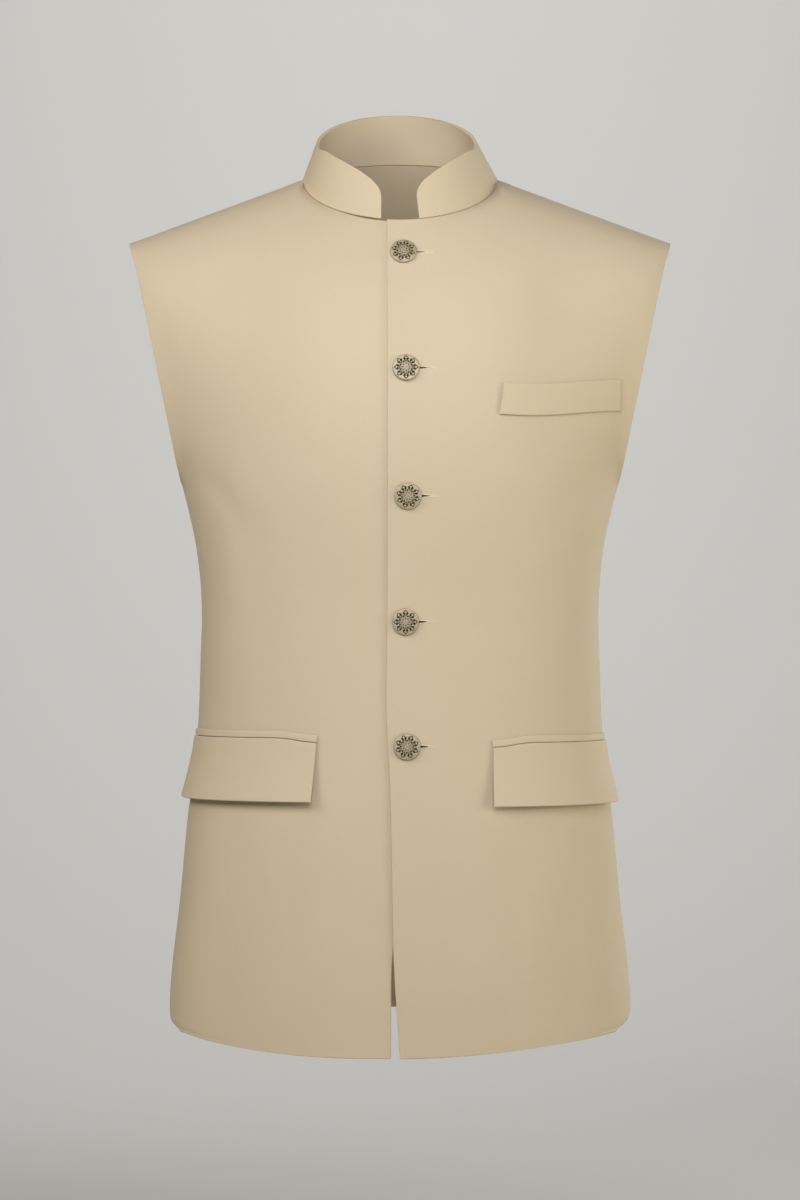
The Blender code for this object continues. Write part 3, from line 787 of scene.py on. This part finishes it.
left_normal = seam_normals(left_cloth, distances(left_cloth)[1])
right_normal = seam_normals(right_cloth, distances(right_cloth)[1])
left_front = shell("left_front_cloth", left_cloth, CLOTH, body_finish, normal=left_normal)
across, height = right_cloth[..., 0], right_cloth[..., 2]
right_front = shell("right_front_cloth", right_cloth, CLOTH, body_finish,
                    drop=lap_drop(across) + hollows(-across, height), normal=right_normal, mirror=True)
stand_for(right_front, "right_front")
declare(right_front, right_cloth, rests_on=["left_front_cloth", "back_cloth"])

# %% [markdown]
# ## Places on the fronts
# Pockets, buttons and stitches lie on the cloth, so each starts from a line of level height on the front's
# own grid: every column of the grid gives one point of it. A patch is a stack of such lines, each from a
# distance past the middle and for a length along the cloth. Its rows can droop at the inner end or sag in
# between, as a sewn-on piece does under its own weight.

# %% Level lines and patches
LIE = 0.5
DROOP_REACH = 30.0
PROBE = 8.0
SIDE_CLEAR = 1.0


def level_line(form, heights):
    """Line on the form at a height, or at a height for each of its columns."""
    heights = np.broadcast_to(heights, form.shape[1])
    x = [np.interp(h, form[:, j, 2], form[:, j, 0]) for j, h in enumerate(heights)]
    y = [np.interp(h, form[:, j, 2], form[:, j, 1]) for j, h in enumerate(heights)]
    return np.stack([x, y, heights], axis=-1)


def patch(form, starts, ends, heights, slope, columns, by_arc=True, droops=None, sag=0.0):
    """Grid on the form: each row starts at a distance from the middle and runs for a length, or to a place.

    A row rises with the slope towards the side. It can droop at its start, which dies out along the reach,
    or sag between its ends as half a sine.
    """
    rows = []
    for row, (start, end, height) in enumerate(zip(starts, ends, heights)):
        aside = form[len(form) // 2, :, 0]
        tilt = slope * aside / form[:, :, 0].max()
        if droops is not None:
            tilt = tilt - droops[row] * ease(1 - (aside - start) / DROOP_REACH)
        if sag:
            tilt = tilt - sag * np.sin(math.pi * np.clip((aside - start) / (end - start), 0, 1))
        line = level_line(form, height + tilt)
        run = lengths(line)
        begin = np.interp(start, line[:, 0], run)
        stop = begin + end if by_arc else np.interp(end, line[:, 0], run)
        rows.append(along(line, run, np.linspace(begin, min(stop, run[-1] - SIDE_CLEAR), columns)))
    return np.array(rows)


def place_on_front(form, across, height):
    """Point on the front with its outward, sideways and upward directions."""

    def on_line(x, z):
        line = level_line(form, z)
        return np.array([x, np.interp(x, line[:, 0], line[:, 1]), z])

    point = on_line(across, height)
    beside, higher = on_line(across + PROBE, height), on_line(across, height + PROBE)
    sideways = (beside - point) / np.linalg.norm(beside - point)
    out = np.cross(sideways, higher - point)
    out /= np.linalg.norm(out)
    return point, out, sideways, np.cross(out, sideways)


print("middle of the front:", place_on_front(left_cloth, 5.0, -300.0)[0].round(1))

# %% [markdown]
# ## Buttonholes
# The left front has five keyhole buttonholes: a round eyelet, in which the shank stands, and a slit that
# closes towards its end. They are cut right through with one Boolean. Each edge is then worked with silk
# twist over a cord, which is a thin tube along the hole's outline, thicker and thinner by each stitch, and
# it runs out in a short bar.

# %% Cutting the keyholes
EYELET_RADIUS = 2.0
HOLE_LENGTH = 16.5
HOLE_HALF_OPEN = 1.9
HOLE_HALF_END = 0.25
CUT_REACH = 7.0
EYELET_FROM, EYELET_TO = 72, 288


def ring_faces(rings, sides, start=0):
    """Quads between neighbouring rings of points, numbered from the start."""
    index = start + np.arange(rings * sides).reshape(rings, sides)
    after = np.roll(index, -1, 1)
    return np.stack([index[:-1], after[:-1], after[1:], index[1:]], -1).reshape(-1, 4)


angles = np.radians(np.linspace(EYELET_FROM, EYELET_TO, 25))
slit = HOLE_LENGTH * np.array([0.3, 0.5, 0.7, 0.9, 1.0])
half = HOLE_HALF_OPEN + (HOLE_HALF_END - HOLE_HALF_OPEN) * slit / HOLE_LENGTH
keyhole = np.concatenate([
    EYELET_RADIUS * np.stack([np.cos(angles), np.sin(angles)], -1),
    np.stack([slit, -half], -1), np.stack([slit, half], -1)[::-1],
])
spots = [place_on_front(left_cloth, across, height) for across, height, _turn in BUTTONS]
count = len(keyhole)
points, faces = [], []
for number, (point, out, sideways, upward) in enumerate(spots):
    flat = point + keyhole[:, :1] * sideways + keyhole[:, 1:] * upward
    points += [flat - out * CUT_REACH, flat + out * CUT_REACH]
    base = 2 * count * number
    faces += [list(range(base, base + count))[::-1], list(range(base + count, base + 2 * count))]
    faces += ring_faces(2, count, base).tolist()
cutter_mesh = bpy.data.meshes.new("keyholes")
cutter_mesh.from_pydata((np.concatenate(points) * MM).tolist(), [], faces)
cutter = add_object("keyholes", cutter_mesh)
cut = left_front.modifiers.new("keyholes", "BOOLEAN")
cut.operation = "DIFFERENCE"
cut.solver = "EXACT"
cut.object = cutter
evaluated = left_front.evaluated_get(bpy.context.evaluated_depsgraph_get())
left_front.data = bpy.data.meshes.new_from_object(evaluated)
left_front.modifiers.clear()
bpy.data.objects.remove(cutter)
stand_for(left_front, "left_front")
declare(left_front, left_cloth, rests_on=["right_front_cloth", "back_cloth"])

# %% Working the edges with twist
TWIST_OUT = 0.5
TWIST_RADIUS = 0.42
TWIST_PITCH = 0.8
TWIST_WAVE = 0.16
TWIST_END = 0.45
BAR_END = 23.5
TWIST_STEPS = 260
TWIST_SIDES = 8


def tube(path, out, radius, sides):
    """Points of a tube: each ring lies across the path, in the plane of the given outward direction."""
    ahead = unit(np.gradient(path, axis=0))
    beside = unit(np.cross(ahead, out))
    spin = np.linspace(0, 2 * math.pi, sides, endpoint=False)[:, None]
    ring = np.cos(spin)[None] * beside[:, None] + np.sin(spin)[None] * np.cross(beside, ahead)[:, None]
    return path[:, None] + ring * np.reshape(radius, (-1, 1, 1))


def on_front(form, point, x, z, reach=5.0):
    """Depth of the form at places close to a point, between a level line above and one below it."""
    low, high = level_line(form, point[2] - reach), level_line(form, point[2] + reach)
    y_low, y_high = np.interp(x, low[:, 0], low[:, 1]), np.interp(x, high[:, 0], high[:, 1])
    return y_low + (y_high - y_low) * (z - point[2] + reach) / (2 * reach)


arc = np.radians(np.linspace(EYELET_FROM, EYELET_TO, 41))
reach = EYELET_RADIUS + TWIST_OUT
side_x = np.linspace(BAR_END, 1.0, 60)
side_y = TWIST_OUT + np.interp(side_x, [0, HOLE_LENGTH, HOLE_LENGTH + 1.2, BAR_END],
                               [HOLE_HALF_OPEN, HOLE_HALF_END, 0.05, -0.1])
outline = np.concatenate([
    np.stack([side_x, side_y], -1), reach * np.stack([np.cos(arc), np.sin(arc)], -1),
    np.stack([side_x, -side_y], -1)[::-1],
])
run = lengths(outline)
at = np.linspace(0, run[-1], TWIST_STEPS)
outline = along(outline, run, at)
thickness = TWIST_RADIUS * (1 + TWIST_WAVE * np.sin(2 * math.pi * at / TWIST_PITCH))
thickness *= TWIST_END + (1 - TWIST_END) * ease((BAR_END - outline[:, 0]) / 5.0)
points, faces = [], []
for number, (point, out, sideways, upward) in enumerate(spots):
    path = point + outline[:, :1] * sideways + outline[:, 1:] * upward
    path[:, 1] = on_front(left_cloth, point, path[:, 0], path[:, 2])
    points.append(tube(path - out * 0.05, out, thickness, TWIST_SIDES).reshape(-1, 3))
    faces.append(ring_faces(TWIST_STEPS, TWIST_SIDES, start=number * TWIST_STEPS * TWIST_SIDES))
twist_finish = Finish("silk_twist")
wrap = twist_finish.noise(twist_finish.place(), (1400.0,) * 3)
twist_finish = twist_finish.surface(
    Base_Color=twist_finish.colour(wrap, (0.60, 0.48, 0.33, 1), (0.86, 0.74, 0.56, 1)),
    Roughness=0.45 + wrap * 0.2, Sheen_Weight=0.2,
)
twist = add_mesh("buttonhole_twist", np.concatenate(points), np.concatenate(faces), twist_finish)
stand_for(twist, None)
print("buttonholes:", len(spots), "twist faces:", len(twist.data.polygons))

# %% [markdown]
# ## Back
# One plain piece from side seam to side seam. Its half is turned over to the other side as numbers, which
# needs no modifier, and it then gets creases that are not the same on both sides.

# %% Back
half_back = refine(HALF_BACK, *FINER)
whole = np.concatenate([half_back[:, ::-1], mirrored(half_back[:, 1:])], axis=1)
whole = near_edges(near_edges(whole).swapaxes(0, 1)).swapaxes(0, 1)
back_cloth = creased("back", whole)
first, last, _low, _high = distances(back_cloth)
back = shell("back_cloth", back_cloth, CLOTH, body_finish,
             normal=seam_normals(back_cloth, np.minimum(first, last)))
stand_for(back, "back")
declare(back, back_cloth, rests_on=["left_front_cloth", "right_front_cloth"])

# %% [markdown]
# ## Stand collar
# The collar is a stiff band between two rings: the neckline, and a rim that leans in and dips towards the
# front. Its ends stand apart at the front, and their upper corners are cut in a long bend. Two plies and
# an interlining make it thicker than the body cloth.

# %% Collar
COLLAR_PLY = 2.6
RIM_HALF_WIDTH = 63.9
RIM_HALF_DEPTH = 64.5
RIM_ASIDE = -2.7
RIM_FORWARD = 7.5
RIM_HEIGHT = 28.0
RIM_TILT = 28.7
RIM_LEVEL = 12.3
COLLAR_SEAT = 0.05
COLLAR_END = 15.3
COLLAR_CURVE_WIDE = 66.0
COLLAR_CURVE_FROM = 0.37
COLLAR_CURVE_BEND = 2.0
COLLAR_CURVE_POWER = 0.70
COLLAR_CURVE_ROWS = 14
COLLAR_CURVE_CLOSER = 2.1
COLLAR_COLUMNS = 54


def collar_grid():
    """Outer face of the collar, and its normals: lines between neckline and rim, the upper ones shortened.

    The shortening is wide times one less (one less the rise to the first power) to the second power. A
    normal is the cross product of the way along the line and the way up to the rim, which also holds in the
    corner where the bend runs into the rim.
    """
    end = math.degrees(math.asin(COLLAR_END / NECK_HALF_WIDTH))
    angle = np.linspace(end, 360 - end, 721)
    a = np.radians(angle)
    base = neck_ring(angle)
    tilt = RIM_TILT - RIM_LEVEL * ease(2 * np.cos(a))
    rim = np.stack([
        RIM_ASIDE + RIM_HALF_WIDTH * np.sin(a),
        -RIM_FORWARD - RIM_HALF_DEPTH * np.cos(a),
        RIM_HEIGHT - tilt * np.cos(a),
    ], axis=-1)
    curve = 1 - np.linspace(1.0, 0.0, COLLAR_CURVE_ROWS) ** COLLAR_CURVE_CLOSER
    shares = [0.0, *np.linspace(0, COLLAR_CURVE_FROM, 4)[1:-1],
              *(COLLAR_CURVE_FROM + (1 - COLLAR_CURVE_FROM) * curve)]
    rows, facing = [], []
    for share in shares:
        line = base + (rim - base) * share
        line[:, 2] += COLLAR_SEAT
        normal = unit(np.cross(np.gradient(line, axis=0), rim - base))
        rise = max(0.0, (share - COLLAR_CURVE_FROM) / (1 - COLLAR_CURVE_FROM))
        pull = COLLAR_CURVE_WIDE * (1 - (1 - rise**COLLAR_CURVE_BEND) ** COLLAR_CURVE_POWER)
        run = lengths(line)
        at = np.linspace(run[0] + pull, run[-1] - pull, COLLAR_COLUMNS)
        rows.append(along(line, run, at))
        facing.append(along(normal, run, at))
    return np.array(rows), np.array(facing)


collar_cloth, collar_normal = (fine(grid, 2, 5) for grid in collar_grid())
collar_normal = unit(collar_normal)
away = np.where(collar_cloth[..., 0] < 0, -collar_cloth[..., 0], NECK_HALF_WIDTH)
collar_drop = np.where(collar_cloth[..., 1] < 0, lap_drop(away), 0.0)
level = collar_normal * np.array([1.0, 1.0, 0.0])
collar_cloth = collar_cloth - level * collar_drop[..., None]
collar = shell("collar_cloth", collar_cloth, COLLAR_PLY, collar_finish, rolls=0.4, normal=collar_normal)
stand_for(collar, "collar")
declare(collar, collar_cloth, rests_on=["left_front_cloth", "right_front_cloth", "back_cloth"],
        upright=collar_cloth.shape[1] // 2)

# %% [markdown]
# ## Pockets
# A hip pocket shows a narrow jet, which is a folded strip, and the flap below it, which stands off a little
# towards its lower edge. Both droop a little at the inner end. The breast pocket has a welt that is sewn
# down at both ends and sags between them. All are patches of the front's own grid, moved out, so they
# follow its curve.

# %% Flaps, jets and welt
FLAP_PLY = 2.0
JET_PLY = 1.0
WELT_PLY = 2.0
# Side, inner ends of the top and low edge, length round to the side, top, flap tall, jet tall and slope.
POCKETS = (
    ("right", 64.4, 67.4, 147.0, -442.4, 49.6, 5.4, 0.0),
    ("left", 72.0, 71.0, 140.8, -446.3, 49.4, 5.4, 0.4),
)
POCKET_DROOP = 3.4
FLAP_FLARE = 5.5
FLAP_CORNER = 5.5
FLAP_CORNER_FROM = 0.92
WELT_INNER_TOP = 79.6
WELT_INNER_LOW = 76.2
WELT_OUTER = 172.0
WELT_TOP = -173.1
WELT_TALL = 24.5
WELT_SLOPE = 18.0
WELT_SAG = 4.1


def lay_on(node, grid, lift, ply, side):
    """A thin shell over a front: each row of the grid is moved out by its lift and the ply."""
    grid = fine(grid + outward(grid) * (np.reshape(lift, (-1, 1, 1)) + ply), *FINER)
    piece = shell(node + "_cloth", grid, ply, trim_finish, rolls=0.9, mirror=side == "right")
    stand_for(piece, node)
    return piece, grid


flap_share = np.array([1.0, 0.98, 0.96, 0.94, FLAP_CORNER_FROM, 0.76, 0.6, 0.3, 0.0])
flap_ends = FLAP_CORNER * np.clip((flap_share - FLAP_CORNER_FROM) / (1 - FLAP_CORNER_FROM), 0, 1) ** 1.25
for side, inner_top, inner_low, outer_arc, top, flap_tall, jet_tall, slope in POCKETS:
    form = left_cloth if side == "left" else right_cloth
    heights = top + SEAM + jet_tall * np.array([0.0, 0.5, 1.0])
    grid = patch(form, np.full(3, inner_top - 0.5), np.full(3, outer_arc + 1.0), heights, slope, 14,
                 droops=np.full(3, POCKET_DROOP))
    jet, _grid = lay_on(f"{side}_jet", grid, LIE + np.array([0.2, 0.3, 0.0]), JET_PLY, side)
    starts = inner_top + (inner_low - inner_top) * flap_share
    grid = patch(form, starts, outer_arc - flap_ends, top - flap_tall * flap_share, slope, 14,
                 droops=POCKET_DROOP * (1 - flap_share))
    flap, grid = lay_on(f"{side}_flap", grid, LIE + FLAP_FLARE * flap_share**1.4, FLAP_PLY, side)
    declare(flap, grid, held="hung", rests_on=[f"{side}_front_cloth"], with_pieces=[jet])
share = np.array([1.0, 0.5, 0.0])
starts = WELT_INNER_TOP + (WELT_INNER_LOW - WELT_INNER_TOP) * share
grid = patch(left_cloth, starts, np.full(3, WELT_OUTER), WELT_TOP - WELT_TALL * share, WELT_SLOPE, 11,
             by_arc=False, sag=WELT_SAG)
welt, welt_grid = lay_on("breast_welt", grid, LIE + np.array([0.0, 0.2, 0.3]), WELT_PLY, "left")
declare(welt, welt_grid, held="laid", rests_on=["left_front_cloth"])

# %% [markdown]
# ## Hand stitches
# The welt's ends and the collar seam are held with small prick stitches. Each is a short bead of thread
# that sinks in at both ends. One function makes all of a row at once, from arrays of places, directions
# and normals.

# %% Stitches
STITCH_LONG = 1.5
STITCH_HIGH = 0.28
WELT_STITCH_EVERY = 2.6
COLLAR_STITCH_EVERY = 3.2
COLLAR_STITCH_ROW = 2
STITCH_RINGS = 5
STITCH_SIDES = 6


def stitch_row(line, normal, every):
    """Beads along a line: the width of ring k is the sine of its place along the bead."""
    run = lengths(line)
    at = np.arange(every, run[-1] - every / 2, every)
    place, up = along(line, run, at), unit(along(normal, run, at))
    way = unit(along(line, run, at + 0.5) - place)
    beside = np.cross(way, up)
    k = np.linspace(0.04, 0.96, STITCH_RINGS)[None, :, None, None]
    spin = np.linspace(0, 2 * math.pi, STITCH_SIDES, endpoint=False)[None, None, :, None]
    wide = STITCH_HIGH * np.sin(math.pi * k)
    points = place[:, None, None] + way[:, None, None] * (k - 0.5) * STITCH_LONG
    return points + wide * (np.cos(spin) * beside[:, None, None] + np.sin(spin) * up[:, None, None])


def stitches(name, rows, finish):
    """All the beads of several rows as one mesh."""
    beads = np.concatenate(rows)
    each = STITCH_RINGS * STITCH_SIDES
    pattern = ring_faces(STITCH_RINGS, STITCH_SIDES)
    faces = (pattern[None] + each * np.arange(len(beads))[:, None, None]).reshape(-1, 4)
    piece = add_mesh(name, beads.reshape(-1, 3), faces, finish)
    stand_for(piece, None)
    print(name, len(beads), "stitches")


thread_finish = Finish("sewing_thread").surface(Base_Color=(0.48, 0.37, 0.235, 1), Roughness=0.6)
welt_normal = outward(welt_grid)
columns = welt_grid.shape[1]
rows = [stitch_row(welt_grid[4:-4, j], welt_normal[4:-4, j], WELT_STITCH_EVERY) for j in (2, columns - 3)]
stitches("welt_stitches", rows, thread_finish)
seam, seam_normal = (grid[COLLAR_STITCH_ROW, 8:-8] for grid in (collar_cloth, collar_normal))
rows = [stitch_row(seam, seam_normal, COLLAR_STITCH_EVERY)]
stitches("collar_stitches", rows, thread_finish)

# %% [markdown]
# ## Metal buttons
# Each button is a turned disc with a bevelled rim on a shank, cast with a traditional eight-petalled star.
# The face is a grid of angle and radius. Its relief is a height that depends on both: petals, a ring of
# dots and a rosette are sunk, with a bead left standing in each petal. The same number, kept as an
# attribute, darkens the sunk places, where old polish stays.

# %% Turned buttons with a star
BUTTON_BASE = 0.6
BUTTON_THICK = 1.75
POLE_RADIUS = 0.02
SHANK_RADIUS = 1.6
DOME_RISE = 0.7
ENGRAVED = 0.32
FACE_EDGE = 9.5
FACE_RINGS = 54
TURNS = 192
LEAF_MIDDLE, LEAF_HALF_WIDE, LEAF_OUTWARD, LEAF_INWARD = 7.2, 2.3, 2.2, 2.7
RIM = ((9.7, 2.28), (9.95, 2.1), (10.2, 1.78), (10.4, 1.38), (10.5, 1.0), (10.42, 0.75), (10.1, 0.6))


def step(value, soft):
    """0 below nothing and 1 above it, with a soft change of the given width."""
    return ease(value / soft + 0.5)


def sunk(radius, angle):
    """1 where the star is engraved: eight leaves round a bead each, dots between them and a small rosette.

    A leaf is widest a third of the way in, and its half width falls with a power of the way to either end.
    """
    petal = np.abs(((angle * 8 / (2 * math.pi) + 0.5) % 1.0) - 0.5) * 2
    aside = petal * radius * math.pi / 8
    between = (1 - petal) * radius * math.pi / 8
    way = radius - LEAF_MIDDLE
    to_tip, to_foot = np.clip(way / LEAF_OUTWARD, 0, 1) ** 1.3, np.clip(-way / LEAF_INWARD, 0, 1) ** 1.6
    leaf = step(LEAF_HALF_WIDE * np.where(way > 0, 1 - to_tip, 1 - to_foot) - aside, 0.35)
    leaf = leaf * step(np.hypot(radius - 7.6, aside) - 0.85, 0.3)
    leaf = leaf * step(np.hypot((radius - 5.75) * 0.62, aside) - 0.45, 0.3)
    dots = step(0.72 - np.hypot(radius - 4.75, between), 0.3)
    seeds = step(0.38 - np.hypot(radius - 2.65, aside), 0.25)
    ground = 0.22 * step(5.6 - radius, 0.5) * step(radius - 1.9, 0.5)
    return np.clip(leaf + dots + seeds + ground, 0.0, 1.0)


face_radius = np.linspace(POLE_RADIUS, FACE_EDGE, FACE_RINGS)
turn_angle = np.linspace(0, 2 * math.pi, TURNS, endpoint=False)
grid_radius, grid_angle = np.meshgrid(face_radius, turn_angle, indexing="ij")
face_sunk = sunk(grid_radius, grid_angle)
dome = DOME_RISE * (1 - (grid_radius / FACE_EDGE) ** 2)
face_high = BUTTON_BASE + BUTTON_THICK + dome - ENGRAVED * face_sunk
foot = SEAM - LAP_DROP
rim = np.array([*RIM, (SHANK_RADIUS, BUTTON_BASE), (SHANK_RADIUS, foot), (POLE_RADIUS, foot)])
all_radius = np.concatenate([grid_radius, np.repeat(rim[:, :1], TURNS, 1)])
all_high = np.concatenate([face_high, np.repeat(rim[:, 1:], TURNS, 1)])
all_sunk = np.concatenate([face_sunk, np.zeros((len(rim), TURNS))])

brass = Finish("antique_brass")
polish = brass.node("ShaderNodeAttribute", {"attribute_name": "sunk"}, output=2)
mottling = brass.noise(brass.place(), (260.0,) * 3, detail=3.0)
dark = polish * 0.94 + (mottling - 0.5) * 0.22
brass_finish = brass.surface(
    Base_Color=brass.colour(brass.node("ShaderNodeClamp", None, {"Value": dark}),
                            (0.49, 0.405, 0.275, 1), (0.010, 0.006, 0.003, 1)),
    Metallic=0.5 - polish * 0.45, Roughness=0.50 + polish * 0.3 + mottling * 0.1, Specular_IOR_Level=0.2,
)
rings = len(all_radius)
faces = ring_faces(rings, TURNS)[:, ::-1]
caps = [list(range(TURNS)), list(range((rings - 1) * TURNS, rings * TURNS))[::-1]]
for number, ((point, out, sideways, upward), (_across, _height, turn)) in enumerate(zip(spots, BUTTONS), 1):
    angle = turn_angle + math.radians(turn)
    spoke = np.cos(angle)[:, None] * sideways + np.sin(angle)[:, None] * upward
    points = point + all_radius[..., None] * spoke[None] + all_high[..., None] * out
    name = f"button_{number}"
    button = add_mesh(name + "_brass", points.reshape(-1, 3), faces, brass_finish, caps=caps, sharp=50)
    kept = button.data.attributes.new("sunk", "FLOAT", "POINT")
    kept.data.foreach_set("value", all_sunk.ravel().astype(np.float32))
    stand_for(button, name)
print("buttons:", len(spots), "faces each:", len(faces))

# %% [markdown]
# ## Studio
# The light is soft and comes from the front and above, a little from the left, so the chest is brightest
# and the skirt darker and warmer. A fourth lamp stands behind, for views of the back. A pale floor sweeps
# up into a pale wall far behind, which has a lamp of its own and leaves the outline clear. The camera
# doesn't see the lamps themselves. The plain display curve keeps the cloth's own colour as it was set.

# %% Sweep, surround and lamps
FLOOR_HEIGHT = -1.15
SWEEP_START = -7.0
SWEEP_BEND = 4.0
SWEEP_RADIUS = 3.0
SWEEP_HALF_WIDTH = 8.0
SWEEP_COLUMNS = 13
WALL_TOP = 5.0
SURROUND = (0.03, 0.03, 0.03)
LAMPS = (
    ("key", (-1.8, -1.2, 0.98), (0.0, 0.0, 0.0), 1.2, (1.0, 0.97, 0.87), 31.5),
    ("front", (0.05, -1.2, 0.30), (0.0, 0.0, 0.12), 0.9, (0.85, 0.88, 0.96), 12.8),
    ("right", (2.4, -1.2, -0.1), (0.0, 0.0, -0.3), 1.2, (1.0, 0.97, 0.77), 26.5),
    ("behind", (2.2, 2.4, 0.1), (0.0, 0.1, -0.35), 1.2, (1.0, 0.97, 0.9), 30.0),
    ("wall", (0.0, 3.8, 2.4), (0.0, 6.8, 0.2), 2.4, (1.0, 1.0, 1.0), 85.0),
)

bend = np.radians(np.linspace(0, 90, 49))
profile = np.stack([SWEEP_BEND + SWEEP_RADIUS * np.sin(bend), SWEEP_RADIUS * (1 - np.cos(bend))], -1)
profile = np.concatenate([[[SWEEP_START, 0.0]], profile, [[profile[-1, 0], WALL_TOP]]])
across = np.linspace(-SWEEP_HALF_WIDTH, SWEEP_HALF_WIDTH, SWEEP_COLUMNS)
sweep_grid = np.stack(np.broadcast_arrays(across, profile[:, :1], profile[:, 1:] + FLOOR_HEIGHT), -1)
index = np.arange(len(profile) * SWEEP_COLUMNS).reshape(-1, SWEEP_COLUMNS)
quads = np.stack(corners(index), -1).reshape(-1, 4)
paper = Finish("pale_paper").surface(Base_Color=(0.78, 0.77, 0.745, 1), Roughness=0.9)
sweep = add_mesh("sweep", sweep_grid.reshape(-1, 3) / MM, quads, paper)

world = bpy.data.worlds.new("surround")
world.use_nodes = True
background = world.node_tree.nodes["Background"].inputs
background["Color"].default_value = (*SURROUND, 1)
background["Strength"].default_value = 1.0
bpy.context.scene.world = world
bpy.context.scene.view_settings.view_transform = "Standard"
for name, where, aim, size, colour, watts in LAMPS:
    light = bpy.data.lights.new(name, "AREA")
    light.size = size
    light.color = colour
    light.energy = watts
    lamp = add_object(name, light)
    lamp.location = where
    lamp.rotation_euler = (Vector(aim) - Vector(where)).to_track_quat("-Z", "Y").to_euler()
    lamp.visible_camera = False
print("lamps:", [name for name, *_rest in LAMPS])
